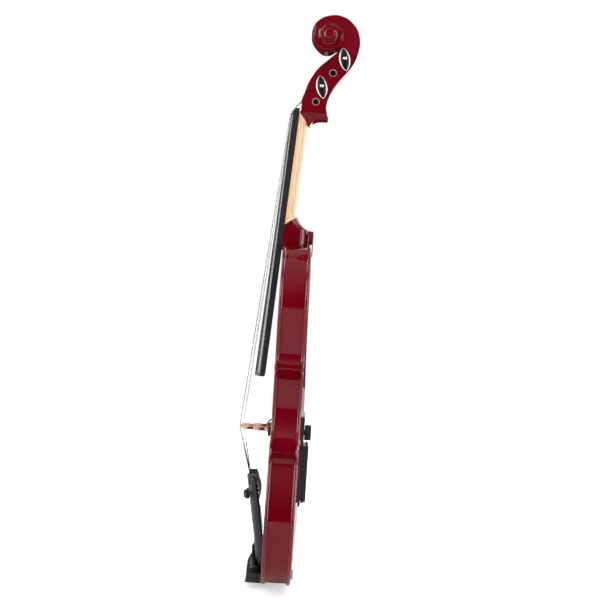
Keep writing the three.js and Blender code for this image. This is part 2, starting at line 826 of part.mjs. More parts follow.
function scrollAndPegbox() {
  const body = prismX(headShares.map(headPlace), -1, 1);
  mapped(body, (p) => p.setX(p.x * headHalf(p.z)));
  const cavity = prismX(cavityShares.map(headPlace), -1, 1);
  mapped(cavity, (p) => p.setX(p.x * (headHalf(p.z) - pegboxWall)));
  const turns = [[0.255, 0.58], [0.175, 0.8], [0.085, 1]].map(([radius, width]) =>
    rod(radius * headDepth, point(-width * scrollEyeWidth / 2, eye.x, eye.y),
      point(width * scrollEyeWidth / 2, eye.x, eye.y), 20));
  return cut(join(body, ...turns), cavity, ...Object.values(pegs).map(pegHole));
}

// Tailpiece: an arched shell. Each row is a station: shares of the way up its length, of its back plane's
// rise, of its full height and of its full width.
const tailShares = [
  [0, 0, 0.584, 0.51], [0.175, 0.048, 0.809, 0.534], [0.35, 0.119, 0.966, 0.592], [0.544, 0.373, 1, 0.738],
  [0.738, 0.643, 1, 0.893], [0.893, 0.857, 1, 0.99], [1, 1, 1, 1],
];
const tailStations = tailShares.map(([share]) => mix(tailBottom, tailTop, share));
const tailShare = (z, column) => read(tailShares.map((row, i) => [tailStations[i], row[column]]), z);
const tailBack = (z) => mix(tailLowBack, tailHighBack, tailShare(z, 1));
const tailHeight = (z) => tailDepth * tailShare(z, 2);
const tailHalf = (z) => (tailWidth / 2) * tailShare(z, 3);
const tailCrown = (x, z) => -tailBack(z) - tailHeight(z) * Math.sqrt(1 - (x / tailHalf(z)) ** 2);

function archRing(z, shell) {
  const side = tailHalf(z) - shell;
  const height = tailHeight(z) - shell;
  return Array.from({ length: 11 }, (_, i) => {
    const turn = (Math.PI * i) / 10;
    return point(side * Math.cos(turn), -tailBack(z) - height * Math.sin(turn), z);
  });
}

const stringNames = ['g', 'd', 'a', 'e'];
const stringShare = (name) => stringNames.indexOf(name) - (stringNames.length - 1) / 2;

// The lever seen from the side, as shares of its thickness behind and above the pivot.
const leverShares = [
  [-2.3, 2], [0.4, 2.07], [0.97, 1], [1.4, -0.5], [2, -1.9], [2.3, -3.2], [2.43, -4.9], [2.2, -6.6],
  [1.55, -6.5], [1.77, -4.9], [1.63, -3.4], [1.2, -2.2], [0.47, -1.05], [-0.83, -0.87], [-2.2, -0.33],
];

function tunerLever(name) {
  const x = stringShare(name) * tailSpacing;
  const profile = leverShares.map(([y, z]) => at(-pivotY + y * leverThickness, pivotZ + z * leverThickness));
  const slot = stringRadii.g + gap;
  const slotBack = -pivotY - leverThickness * 1.2;
  return cut(
    prismX(profile, x - leverThickness / 2, x + leverThickness / 2),
    block(x - slot, x + slot, -pivotY - far, slotBack, pivotZ - leverThickness, pivotZ + far),
    bore(pivotRadius, point(x - overrun, -pivotY, pivotZ), point(x + overrun, -pivotY, pivotZ), 12),
  );
}

// The screw's foot stands just clear of the lever's arm.
function screwFoot(name) {
  return point(stringShare(name) * tailSpacing, -pivotY + leverArmReach, tunerScrewHeight);
}

// The head's inner face stays clear of the tailpiece's crown with the screw turned fully in.
function headFace(name) {
  const foot = screwFoot(name);
  const crown = tailCrown(Math.abs(foot.x) - tunerHeadRadius / 2, foot.z);
  const length = (foot.y - crown) * slope + screwTravel + 2 * gap;
  return foot.addScaledVector(tunerAxis, -length);
}

function tunerShank(name) {
  const end = headFace(name).addScaledVector(tunerAxis, -tunerHeadLength / 2);
  return rod(tunerShankRadius, screwFoot(name), end, 12);
}

function tunerHead(name) {
  const face = headFace(name);
  const profile = [
    at(0, 0), at(tunerHeadRadius * 0.8, 0), at(tunerHeadRadius, tunerHeadLength * 0.15),
    at(tunerHeadRadius, tunerHeadLength * 0.85), at(tunerHeadRadius * 0.8, tunerHeadLength),
    at(0, tunerHeadLength),
  ];
  const seat = face.clone().addScaledVector(tunerAxis, -tunerHeadLength / 2 - gap);
  return cut(
    turned(profile, 14, face, tunerAxis.clone().negate()),
    bore(tunerShankRadius, screwFoot(name), seat, 12),
  );
}

// The hollow is open behind and stops short of both ends.
function tailHollow() {
  const stations = [tailBottom + tailEndWall, ...tailStations.slice(1, -1), pivotZ - pivotWall];
  return loft(stations.map((z) => {
    const side = tailHalf(z) - tailShell;
    const open = -tailBack(z) + overrun;
    return [...archRing(z, tailShell), point(-side, open, z), point(side, open, z)];
  }), (p) => at(p.x, p.y));
}

function tailpiece() {
  const outer = loft(tailStations.map((z) => archRing(z, 0)), (p) => at(p.x, p.y));
  const side = tailHalf(tailTop) - tailShell;
  const blockFront = -tailBack(tailTop) - tailShell;
  const pivotBlock = block(-side, side, blockFront, -pivotY + pivotWall, pivotZ - pivotWall, tailTop);
  const levers = stringNames.flatMap((name) => {
    const x = stringShare(name) * tailSpacing;
    const slotSide = leverThickness / 2 + gap;
    const foot = screwFoot(name);
    return [
      block(x - slotSide, x + slotSide, -far, 0, pivotZ - leverThickness * 2, tailTop + overrun),
      bore(tunerShankRadius, foot, foot.clone().addScaledVector(tunerAxis, -far / 2), 12),
    ];
  });
  const guts = [-1, 1].map((turn) => {
    const from = point(turn * gutSpacing / 2, -gutY, tailBottom - overrun);
    return bore(gutRadius, from, from.clone().setZ(tailBottom + 2 * overrun), 10);
  });
  return cut(
    join(outer, pivotBlock),
    tailHollow(),
    ...levers,
    ...guts,
    bore(pivotRadius, point(-far, -pivotY, pivotZ), point(far, -pivotY, pivotZ), 12),
  );
}

const gutY = saddleTop + gutRadius + gap;

function tailgut() {
  const side = gutSpacing / 2;
  const loop = buttonStemRadius + gutRadius + gap;
  const low = bodyBottom - gutRadius - gap;
  const groove = (buttonHeadHeight + bodyBottom + plateOverhang) / 2;
  const down = [
    point(side, -gutY, tailBottom + overrun), point(side, -gutY, bodyBottom + saddleLength * 0.6),
    point(side, -gutY + gutRadius * 0.5, bodyBottom + gutRadius),
    point(side, -gutY + gutRadius * 2, low + gutRadius * 0.6),
    point(side, -half, low), point(side, -inner + gutRadius * 0.3, low), point(side, -loop * 1.85, groove),
    point(side, -loop * 1.3, groove),
  ];
  const turns = 8;
  const round = Array.from({ length: turns + 1 }, (_, i) => {
    const turn = (Math.PI * i) / turns;
    return point(loop * Math.cos(turn), loop * Math.sin(turn), groove);
  });
  const up = down.map((p) => point(-p.x, p.y, p.z)).reverse();
  return tube([...down, ...round, ...up], gutRadius, 8);
}

function saddle() {
  const side = saddleWidth / 2;
  const round = saddleLength * 0.2;
  const profile = [
    at(-inner - gap, bodyBottom), at(-inner - gap, bodyBottom + saddleLength),
    at(-saddleTop + round * 2, bodyBottom + saddleLength), at(-saddleTop, bodyBottom + saddleLength - round),
    at(-saddleTop, bodyBottom + round * 1.5), at(-saddleTop + round, bodyBottom + round * 0.4),
    at(-half, bodyBottom),
  ];
  return prismX(profile, -side, side);
}

function endButton() {
  const profile = [
    at(0, 0), at(buttonFaceRadius, 0), at(buttonHeadRadius, buttonHeadHeight * 0.35),
    at(buttonHeadRadius, buttonHeadHeight), at(buttonStemRadius, buttonHeadHeight),
    at(buttonStemRadius, bodyBottom + blockInset), at(buttonStemRadius * 0.9, buttonStemEnd),
    at(0, buttonStemEnd),
  ];
  return turned(profile, 24, point(0, 0, 0), point(0, 0, 1));
}

// Half of the bridge seen from the front, as shares of its foot's half-width and its height.
const bridgeShares = [
  [0.55, 0], [1, 0], [1, 0.07], [0.79, 0.14], [0.8, 0.23], [0.95, 0.29], [0.98, 0.43], [0.93, 0.5],
  [0.74, 0.53], [0.7, 0.6], [0.91, 0.72], [0.91, 0.855],
];
const archShares = [[0.52, 0.09], [0.4, 0.19], [0.2, 0.26], [0, 0.28]];
const heartShares = [[0, 0.48], [0.16, 0.58], [0.2, 0.65], [0.12, 0.69], [0, 0.65]];

function bridge() {
  const side = bridgeFootWidth / 2;
  const base = -half - pickupThickness;
  const place = ([x, h]) => at(x * side, base - h * bridgeHeight);
  const crown = [0.75, 0.5, 0.25].map((share) => {
    const x = share * side;
    return at(x, base - bridgeHeight + crownDrop(x));
  });
  const right = [...archShares.slice().reverse().map(place), ...bridgeShares.map(place), ...crown];
  const shape = [...right, at(0, base - bridgeHeight), ...flip(right).map((p) => at(p.x, p.y)).slice(0, -1)];
  const heart = heartShares.map(place);
  const hole = [...heart, ...flip(heart).slice(1, -1)];
  const body = cut(prismZ(shape, -1, 1), prismZ(hole, -2, 2));
  mapped(body, (p) => {
    const share = THREE.MathUtils.clamp((base - p.y) / bridgeHeight, 0, 1);
    p.z = bridgeCentre + p.z * mix(bridgeFootThickness, bridgeTopThickness, share) / 2;
  });
  return body;
}

const pickupBottom = bridgeCentre - pickupLength * 0.67;

function pickupBar() {
  const side = pickupWidth / 2;
  return block(-side, side, -half - pickupThickness, -half, pickupBottom, pickupBottom + pickupLength);
}

function pickupLead() {
  const start = pickupBottom + pickupLength + gap + leadRadius;
  const middle = half + pickupThickness * 0.6;
  const route = [
    [-middle, start], [-middle - leadRadius * 2, start + leadRadius * 1.8],
    [-middle - leadRadius * 2.2, start + leadRadius * 4], [-half - leadRadius, leadHoleZ],
    [-inner, leadHoleZ], [0, leadHoleZ], [boardFront - 2 * gap, leadHoleZ],
  ].map(([y, z]) => point(leadX, y, z));
  return tube(smooth(route, 26), leadRadius, 8);
}

// Where a string that comes from a (y, z) place first touches a peg's front.
function touch(from, peg, radius) {
  const reach = peg.clone().sub(from);
  const turn = Math.atan2(reach.x, reach.y) - Math.asin(radius / reach.length());
  const length = Math.sqrt(reach.lengthSq() - radius ** 2);
  return at(from.x + Math.sin(turn) * length, from.y + Math.cos(turn) * length);
}

function string(name) {
  const radius = stringRadii[name];
  const share = stringShare(name);
  const lift = radius + gap * 0.7;
  const nutX = share * nutSpacing;
  const nutY = -boardUnderAtNut - boardNutHeight - nutProud + crownDrop(nutX) - lift;
  const bridgeX = share * bridgeSpacing;
  const bridgeY = -half - pickupThickness - bridgeHeight + crownDrop(bridgeX) - lift;
  const bridgeHalf = bridgeTopThickness / 2;
  const tailX = share * tailSpacing;
  const tailEnd = -pivotY - leverThickness * 1.9;
  const around = mix(pegEndRadius, pegCollarRadius, 0.55) + radius + gap;
  const nutEnd = at(nutY + nutBackDrop, nutBack);
  const passed = name === 'a' ? [touch(nutEnd, pegs.d.place, around + gap)] : [];
  const last = touch(passed[0] ?? nutEnd, pegs[name].place, around);
  const inBox = [...passed, last].map((p) =>
    point(mix(nutX, nutX * pegStringShare, (p.y - nutBack) / (last.y - nutBack)), p.x, p.y));
  return tube([
    point(tailX, tailEnd, pivotZ + leverThickness * 0.3),
    point(tailX, tailEnd - radius, pivotZ + leverThickness * 1.4),
    point(tailX, tailEnd - 2 * radius, tailTop + leverThickness * 1.5),
    point(bridgeX, bridgeY, bridgeCentre - bridgeHalf),
    point(bridgeX, bridgeY, bridgeCentre + bridgeHalf),
    point(nutX, nutY, nutFront),
    point(nutX, nutEnd.x, nutEnd.y),
    ...inBox,
  ], radius, 6);
}

// Chin rest plan: shares of its length from the bass end, then its low and high edge as shares of its top.
const restPlanShares = [
  [0, 0.586, 0.758], [0.04, 0.463, 0.9], [0.12, 0.34, 0.962], [0.25, 0.217, 1.008],
  [0.38, 0.131, 1.008], [0.5, 0.082, 0.962], [0.6, 0.057, 0.746], [0.68, 0.042, 0.5],
  [0.78, 0.029, 0.362], [0.88, 0.026, 0.3], [0.94, 0.032, 0.269], [1, 0.069, 0.215],
];
const tailRoomShare = 0.78;

function chinRest() {
  const x = (u) => -restLeft + u * restLength;
  const low = (u) => read(restPlanShares.map(([s, a]) => [s, a]), u) * restTop;
  const high = (u) => read(restPlanShares.map(([s, , b]) => [s, b]), u) * restTop;
  const z = (u, v) => mix(low(u), high(u), v);
  const over = (u) => 1 - THREE.MathUtils.smoothstep(Math.abs(u - tailRoomShare), 0.1, 0.14);
  const under = (u, v) => {
    const tail = tailBack(z(u, v)) + tailHeight(z(u, v)) - half + 3 * gap;
    const own = mix(restUnder, restUnderAtTop, v ** 1.5 * (1 - THREE.MathUtils.smoothstep(u, 0.55, 0.7)));
    return mix(own, Math.max(own, tail), over(u));
  };
  const front = (u, v) => {
    const lip = mix(restLip, restEndLip, THREE.MathUtils.smoothstep(u, 0.62, 0.82));
    const rim = lip + (restRidge - lip) * (1 - v) ** 3 * (0.55 + 0.45 * Math.min(1, u / 0.6));
    const end = restEndLift * Math.max(0, 1 - u / 0.12) ** 2;
    return Math.max(rim + end, under(u, v) + restWall);
  };
  const rest = slab(22, 8, (u, v) => point(x(u), -half - front(u, v), z(u, v)),
    (u, v) => point(x(u), -half - under(u, v), z(u, v)));
  const foot = (left, right, lowZ, highZ) =>
    block(left, right, -half - restUnder - restWall / 2, -half, lowZ, highZ);
  const trebleEnd = restLength - restLeft;
  return join(
    rest,
    foot(-restLeft * 0.72, -restLeft * 0.58, restTop * 0.35, restTop * 0.5),
    foot(trebleEnd - restLength * 0.075, trebleEnd - restLength * 0.02, restTop * 0.05, restTop * 0.2),
  );
}

const posts = [treblePostX, bassPostX].map((x) => point(-x, 0, heightAt(lowerEdge, x) - postEdgeDistance));

function clampBar(front, back) {
  const left = -bassPostX - 2 * postRadius;
  const right = -treblePostX + 2 * postRadius;
  const shape = [
    at(left, posts[1].z - 1.4 * postRadius), at(left + 2 * postRadius, posts[1].z - 1.6 * postRadius),
    at(right - postRadius, posts[0].z - 1.6 * postRadius), at(right, posts[0].z),
    at(right, posts[0].z + bracketRun), at(left, posts[1].z + bracketRun),
  ];
  return prismY(shape, front, back);
}

const barrelHalf = barrelLength / 2;

function chinRestBracket() {
  const front = -half - restUnder + gap;
  return join(
    clampBar(front, front + bracketThickness),
    ...posts.map((p) => rod(postRadius, point(p.x, front + bracketThickness / 2, p.z),
      point(p.x, -barrelHalf + postLengthInBarrel, p.z), 12)),
  );
}

function chinRestFoot() {
  const front = half + footPad;
  return join(
    clampBar(front, front + bracketThickness),
    ...posts.map((p) => rod(postRadius, point(p.x, front + bracketThickness / 2, p.z),
      point(p.x, barrelHalf - postLengthInBarrel, p.z), 12)),
  );
}

function clampBarrel(p) {
  const tubeBody = rod(barrelRadius, point(p.x, -barrelHalf, p.z), point(p.x, barrelHalf, p.z), 14);
  const cross = 0.6 * postRadius;
  return cut(
    tubeBody,
    bore(postRadius, point(p.x, -barrelLength, p.z), point(p.x, barrelLength, p.z), 14),
    rod(cross, point(p.x - overrun, 0, p.z), point(p.x + overrun, 0, p.z), 8),
  );
}

// Control plate with the battery bay moulded in, its outer face parallel to the back's edge plane.
const plateFace = half + plateProud;
const bayHalf = batteryWidth / 2 + 2 * gap + bayWall;
const bayBottom = plateBottom + windowMargin + gap;
const bayTop = bayBottom + batteryLength + 4 * gap + 2 * bayWall;
const bayFloor = plateFace + doorProud - doorWall - batteryThickness - 2 * gap - gap;
const plateTop = bayTop + 4 * gap + boardLength + windowMargin;
const doorWidth = 2 * (bayHalf + doorSideMargin);
const doorBottom = plateBottom + doorMargin;
const doorTop = bayTop + doorMargin;
const doorPivot = { y: plateFace + doorPivotRadius * 2, z: doorBottom + doorPivotRadius };
const knobLevel = plateTop - knobSetback;

function controlPlate() {
  const side = plateWidth / 2;
  const round = plateProud * 0.3;
  const corners = [
    at(-side, plateBottom + round), at(-side + round, plateBottom), at(side - round, plateBottom),
    at(side, plateBottom + round), at(side, plateTop - round), at(side - round, plateTop),
    at(-side + round, plateTop), at(-side, plateTop - round),
  ];
  const earX = doorWidth / 2 + gap;
  const ears = [-1, 1].map((s) => {
    const [left, right] = [s * earX, s * (earX + doorPivotRadius * 2)].sort((a, b) => a - b);
    return block(left, right, plateFace - gap, doorPivot.y + doorPivotRadius * 2,
      doorPivot.z - doorPivotRadius * 2, doorPivot.z + doorPivotRadius * 2);
  });
  const room = bayHalf - bayWall;
  const bay = block(-bayHalf, bayHalf, bayFloor - bayWall, half + gap, bayBottom, bayTop);
  return cut(
    join(prismY(corners, half, plateFace), bay, ...ears),
    block(-room, room, bayFloor, plateFace + overrun, bayBottom + bayWall, bayTop - bayWall),
    bore(doorPivotRadius, point(-far, doorPivot.y, doorPivot.z), point(far, doorPivot.y, doorPivot.z), 10),
    bore(shaftRadius, point(0, half - overrun, knobLevel), point(0, plateFace + overrun, knobLevel)),
  );
}

function knob() {
  const shaftEnd = half - 3 * gap;
  const foot = plateFace + 2 * gap;
  const lip = knobRadius * 0.12;
  const profile = [
    at(0, 0), at(shaftRadius, 0), at(shaftRadius, foot - shaftEnd), at(knobRadius, foot - shaftEnd),
    at(knobRadius, foot - shaftEnd + knobHeight - lip), at(knobRadius - lip, foot - shaftEnd + knobHeight),
    at(0, foot - shaftEnd + knobHeight),
  ];
  return turned(profile, 24, point(0, shaftEnd, knobLevel), point(0, 1, 0));
}

function preampBoard() {
  const low = bayTop + 2 * gap;
  const side = plateWidth / 2 - windowMargin - gap;
  const back = boardFront + boardThickness;
  const pot = rod(potRadius, point(0, back - gap, knobLevel), point(0, half - gap, knobLevel));
  const roomFrom = point(0, half - 5 * gap, knobLevel);
  const shaftRoom = bore(shaftRadius, roomFrom, point(0, half + overrun, knobLevel));
  const chip = block(potRadius + boardThickness, potRadius + boardThickness * 6, back - gap,
    back + boardThickness, knobLevel - boardThickness * 3, knobLevel + boardThickness);
  return cut(join(block(-side, side, boardFront, back, low, low + boardLength), pot, chip), shaftRoom);
}

function battery() {
  const low = bayBottom + bayWall + gap;
  const terminal = batteryLength * 0.06;
  const base = bayFloor + gap;
  const body = block(-batteryWidth / 2, batteryWidth / 2, base, base + batteryThickness, low,
    low + batteryLength - terminal);
  const middle = base + batteryThickness / 2;
  const snaps = [-1, 1].map((s) => {
    const top = point(s * batteryWidth / 4, middle, low + batteryLength);
    return rod(terminal * 1.3, top.clone().setZ(top.z - 2 * terminal), top, 12);
  });
  return join(body, ...snaps);
}

function batteryDoor() {
  const front = plateFace + gap;
  const back = plateFace + doorProud;
  const side = doorWidth / 2;
  const latch = doorWall * 1.6;
  const pins = rod(doorPivotRadius, point(-side - 1.6 * doorPivotRadius, doorPivot.y, doorPivot.z),
    point(side + 1.6 * doorPivotRadius, doorPivot.y, doorPivot.z), 10);
  const lid = block(-side, side, front, back, doorBottom, doorTop);
  const inside = block(-side + doorWall, side - doorWall, front - overrun, back - doorWall,
    doorBottom + doorWall, doorTop - doorWall);
  const nub = block(-latch * 2, latch * 2, back - latch * 1.2, back - latch * 0.5,
    doorTop - gap, doorTop + latch);
  return cut(join(lid, pins, nub), inside);
}

const jackRibFace = -lowerWidth / 2 + plateOverhang;

function outputJack() {
  const inside = jackRibFace + ribThickness + jackShoulderRoom;
  const mouth = jackRibFace - jackBushProud;
  const profile = [
    at(0, 0), at(jackBodyRadius, 0), at(jackBodyRadius, jackBodyLength), at(jackBushRadius, jackBodyLength),
    at(jackBushRadius, jackBodyLength + inside - mouth), at(0, jackBodyLength + inside - mouth),
  ];
  const rear = inside + jackBodyLength;
  const boreEnd = point(rear - jackBodyLength * 0.15, 0, jackHeight);
  return cut(
    turned(profile, 18, point(rear, 0, jackHeight), point(-1, 0, 0)),
    rod(jackBoreRadius, point(mouth - overrun, 0, jackHeight), boreEnd),
  );
}

function jackNut() {
  const start = jackRibFace - gap;
  return cut(
    rod(jackNutRadius, point(start, 0, jackHeight), point(start - jackNutThickness, 0, jackHeight), 6),
    bore(jackBushRadius, point(start + overrun, 0, jackHeight),
      point(start - 2 * overrun, 0, jackHeight), 18),
  );
}

function jackLead() {
  const rear = jackRibFace + ribThickness + jackShoulderRoom + jackBodyLength + gap;
  const boardEdge = -(plateWidth / 2 - windowMargin - gap) - gap - leadRadius / 2;
  const boardY = boardFront + boardThickness / 2;
  const between = (share) => mix(rear, boardEdge, share);
  const route = [
    point(rear, 0, jackHeight), point(rear + jackBodyRadius, 0, jackHeight),
    point(between(0.45), boardY * 0.15, jackHeight * 1.2),
    point(between(0.65), boardY / 3, jackHeight * 1.55),
    point(between(0.85), boardY * 0.8, jackHeight * 1.95), point(boardEdge, boardY, knobLevel),
  ];
  return tube(smooth(route, 28), leadRadius, 8);
}

add('top_plate', topPlate(), ...lacquer);
add('back_plate', backPlate(), ...lacquer);
add('lower_rib', lowerRib(), ...lacquer);
add('waist_rib_treble', waistRib(), ...lacquer);
add('waist_rib_bass', mirror(waistRib()), ...lacquer);
add('upper_rib_treble', upperRib(), ...lacquer);
add('upper_rib_bass', mirror(upperRib()), ...lacquer);
add('bass_bar', bassBar(), ...spruce);
add('neck_block', neckBlock(), ...spruce);
add('end_block', endBlock(), ...spruce);
for (const [where, first, second, corner] of [
  ['lower', lowerEdge, waistEdge, lowerCorner], ['upper', waistEdge, upperEdge, upperCorner]]) {
  const wedge = cornerBlock(first, second, corner);
  add(`corner_block_${where}_treble`, wedge, ...spruce);
  add(`corner_block_${where}_bass`, mirror(wedge), ...spruce);
}
const blank = neckBlank();
add('neck_heel', neckHeel(blank), ...lacquer);
add('neck_shaft', neckShaft(blank), ...maple);
add('scroll_and_pegbox', scrollAndPegbox(), ...lacquer);
add('fingerboard', fingerboard(), ...ebony);
add('nut', nut(), ...ebony);
add('saddle', saddle(), ...ebony);
add('end_button', endButton(), ...ebony);
add('tailgut', tailgut(), ...darkWire);
add('tailpiece', tailpiece(), ...blackPlastic);
add('tuner_pivot_rod', rod(pivotRadius, point(-tailHalf(pivotZ) * 0.9, -pivotY, pivotZ),
  point(tailHalf(pivotZ) * 0.9, -pivotY, pivotZ), 12), ...steel);
for (const name of stringNames) {
  add(`tuner_lever_${name}`, tunerLever(name), ...steel);
  add(`tuner_shank_${name}`, tunerShank(name), ...steel);
  add(`tuner_head_${name}`, tunerHead(name), ...blackPlastic);
  add(`string_${name}`, string(name), ...steel);
  add(`peg_${name}`, peg(pegs[name]), ...ebony);
}
add('bridge', bridge(), ...maple);
add('pickup_bar', pickupBar(), ...blackPlastic);
add('pickup_lead', pickupLead(), ...darkWire);
add('chin_rest', chinRest(), ...blackPlastic);
add('chin_rest_bracket', chinRestBracket(), ...steel);
add('chin_rest_foot', chinRestFoot(), ...steel);
add('clamp_barrel_treble', clampBarrel(posts[0]), ...steel);
add('clamp_barrel_bass', clampBarrel(posts[1]), ...steel);
add('control_plate', controlPlate(), ...blackPlastic);
add('volume_knob', knob(), ...blackPlastic);
add('preamp_board', preampBoard(), 0x1f5a36, 0.5);
add('battery', battery(), 0x4a4f55, 0.4, 0.3);
add('battery_door', batteryDoor(), ...blackPlastic);
add('output_jack', outputJack(), ...steel);
add('jack_nut', jackNut(), ...steel);
add('jack_lead', jackLead(), ...darkWire);

export default group;
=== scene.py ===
"""Electric violin, seen from its treble side in plain studio light.

Every surface is worked out in millimetres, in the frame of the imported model, and turned to metres when its
mesh is made: +Z to the scroll, -Y the string side, +X the treble side.
"""
import json
import math

import bmesh
import bpy
import numpy as np
from mathutils import Matrix, Vector


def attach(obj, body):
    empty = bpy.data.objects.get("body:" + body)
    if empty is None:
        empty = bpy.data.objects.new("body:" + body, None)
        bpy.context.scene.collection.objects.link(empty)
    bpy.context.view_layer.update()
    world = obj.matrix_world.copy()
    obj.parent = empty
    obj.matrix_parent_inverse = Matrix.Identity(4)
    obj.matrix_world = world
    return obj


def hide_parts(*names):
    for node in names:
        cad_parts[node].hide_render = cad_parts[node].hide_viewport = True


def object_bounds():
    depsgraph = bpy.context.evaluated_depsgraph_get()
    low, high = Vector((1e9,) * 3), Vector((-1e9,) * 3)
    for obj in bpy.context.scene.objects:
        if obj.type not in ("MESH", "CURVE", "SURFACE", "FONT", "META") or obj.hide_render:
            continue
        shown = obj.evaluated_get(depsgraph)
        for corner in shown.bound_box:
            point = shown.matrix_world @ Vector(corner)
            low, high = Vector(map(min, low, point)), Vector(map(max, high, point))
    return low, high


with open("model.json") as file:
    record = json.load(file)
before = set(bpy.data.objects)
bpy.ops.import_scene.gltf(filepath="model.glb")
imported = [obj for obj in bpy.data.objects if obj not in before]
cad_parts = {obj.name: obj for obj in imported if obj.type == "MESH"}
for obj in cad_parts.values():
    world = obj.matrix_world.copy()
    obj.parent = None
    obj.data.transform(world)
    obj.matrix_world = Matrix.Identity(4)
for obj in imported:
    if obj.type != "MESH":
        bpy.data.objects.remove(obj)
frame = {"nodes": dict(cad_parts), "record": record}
cad_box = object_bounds()

MM = 0.001


def V(*values):
    """The values as one float array."""
    return np.array(values, float)


def mix(a, b, share):
    """The value a share of the way from a to b."""
    return a + (b - a) * share


def step(low, high, value):
    """0 below low, 1 above high, with a smooth cubic rise between."""
    t = np.clip((np.asarray(value, float) - low) / (high - low), 0, 1)
    return t * t * (3 - 2 * t)


def table(rows, where, column=1):
    """Linear reading of one column of a table whose first column rises."""
    rows = np.array(rows, float)
    return np.interp(where, rows[:, 0], rows[:, column])


def unit(vectors):
    """The vectors at length 1."""
    return vectors / np.maximum(np.linalg.norm(vectors, axis=-1, keepdims=True), 1e-12)


def signed_power(value, power):
    """The value's size to a power, with its sign kept."""
    return np.sign(value) * np.abs(value) ** power


def bezier(start, end, shares, count):
    """A cubic Bezier whose control points are shares of the way across and up between its ends."""
    a, d = V(*start), V(*end)
    b, c = (a + (d - a) * V(*s) for s in shares)
    t = np.linspace(0, 1, count + 1)[:, None]
    return (1 - t) ** 3 * a + 3 * (1 - t) ** 2 * t * b + 3 * (1 - t) * t ** 2 * c + t ** 3 * d


def resampled(points, count, closed=False):
    """The same line with evenly spaced points: linear interpolation over its arc length."""
    points = np.asarray(points, float)
    if closed:
        points = np.vstack([points, points[:1]])
    length = np.r_[0, np.cumsum(np.linalg.norm(np.diff(points, axis=0), axis=1))]
    at = np.linspace(0, length[-1], count + (1 if closed else 0))
    line = np.stack([np.interp(at, length, points[:, k]) for k in range(points.shape[1])], 1)
    return line[:-1] if closed else line


def smooth_line(points, count):
    """A Catmull-Rom curve through the points, as an array of evenly spaced points."""
    p = np.asarray(points, float)
    p = np.vstack([2 * p[0] - p[1], p, 2 * p[-1] - p[-2]])
    t = np.linspace(0, 1, 24, endpoint=False)[:, None]
    runs = [0.5 * (2 * b + (c - a) * t + (2 * a - 5 * b + 4 * c - d) * t ** 2
                   + (3 * b - a - 3 * c + d) * t ** 3)
            for a, b, c, d in zip(p[:-3], p[1:-2], p[2:-1], p[3:])]
    return resampled(np.vstack(runs + [p[-2:-1]]), count)


def quads(rows, columns, wrap_rows=False, wrap_columns=False, start=0):
    """Faces of a grid of rows by columns, each row or column joined round to the first where it wraps."""
    r = np.arange(rows if wrap_rows else rows - 1)[:, None]
    c = np.arange(columns if wrap_columns else columns - 1)[None, :]
    r2, c2 = (r + 1) % rows, (c + 1) % columns
    faces = np.stack([r * columns + c, r * columns + c2, r2 * columns + c2, r2 * columns + c], -1)
    return (faces.reshape(-1, 4) + start).tolist()


class Shell:
    """Collects points in millimetres and faces, then becomes one mesh object."""

    def __init__(self):
        self.points, self.faces, self.count = [], [], 0

    def grid(self, points, wrap_rows=False, wrap_columns=False, caps=False):
        """Adds a grid of shape (rows, columns, 3). Caps close the first and last row with a flat face."""
        rows, columns = points.shape[:2]
        start = self.count
        self.points.append(points.reshape(-1, 3))
        self.count += rows * columns
        self.faces += quads(rows, columns, wrap_rows, wrap_columns, start)
        if caps:
            ring = np.arange(columns)
            self.faces += [(start + ring[::-1]).tolist(), (start + (rows - 1) * columns + ring).tolist()]
        return self

    def turned(self, profile, origin, direction, sides=48, ribs=0, depth=0):
        """Adds a profile of (radius, distance) turned round an axis. Its ends lie on the axis or are capped.

        Ribs, where given, are cut into the profile's widest part by depth, a share of its radius.
        """
        profile = np.asarray(profile, float)
        axis = unit(V(*direction))
        side = unit(np.cross(axis, V(0, 0, 1) if abs(axis[2]) < 0.9 else V(1, 0, 0)))
        turn = np.linspace(0, 2 * math.pi, sides, endpoint=False)
        ring = np.cos(turn)[:, None] * side + np.sin(turn)[:, None] * np.cross(axis, side)
        radius = profile[:, :1]
        radius = radius * (1 - depth * (radius == radius.max()) * (0.5 + 0.5 * np.cos(ribs * turn)))
        points = V(*origin) + profile[:, 1, None, None] * axis + radius[..., None] * ring
        return self.grid(points, wrap_columns=True, caps=True)

    def tube(self, path, radius, sides):
        """Adds a round tube along a path, its rings square to the path and started from the x direction."""
        path = np.asarray(path, float)
        along = unit(np.gradient(path, axis=0))
        first = unit(np.cross(along, V(1, 0, 0)))
        second = np.cross(along, first)
        turn = np.linspace(0, 2 * math.pi, sides, endpoint=False)[None, :, None]
        radius = np.broadcast_to(np.asarray(radius, float), (len(path),))[:, None, None]
        ring = np.cos(turn) * first[:, None] + np.sin(turn) * second[:, None]
        return self.grid(path[:, None] + radius * ring, wrap_columns=True, caps=True)

    def mesh(self, name, merge=1e-6):
        """The mesh in metres, with doubled points merged and every face turned outwards."""
        mesh = bpy.data.meshes.new(name)
        mesh.from_pydata((np.vstack(self.points) * MM).tolist(), [], self.faces)
        return cleaned(mesh, merge)


def prism(rows):
    """A solid through closed rings of points, its first and last ring filled."""
    return Shell().grid(np.array(rows, float), wrap_columns=True, caps=True)


def box(low, high):
    """A box between two corners."""
    (a, b, c), (d, e, f) = low, high
    return prism([[(a, b, z), (d, b, z), (d, e, z), (a, e, z)] for z in (c, f)])


def rod(radius, length, *place):
    """A plain round rod, for holes. Its place is its origin, its direction and the number of its sides."""
    return Shell().turned([(0, 0), (radius, 0), (radius, length), (0, length)], *place)


def laid(line, y):
    """An (x, z) line as points at depth y."""
    return np.c_[line[:, 0], np.full(len(line), y), line[:, 1]]


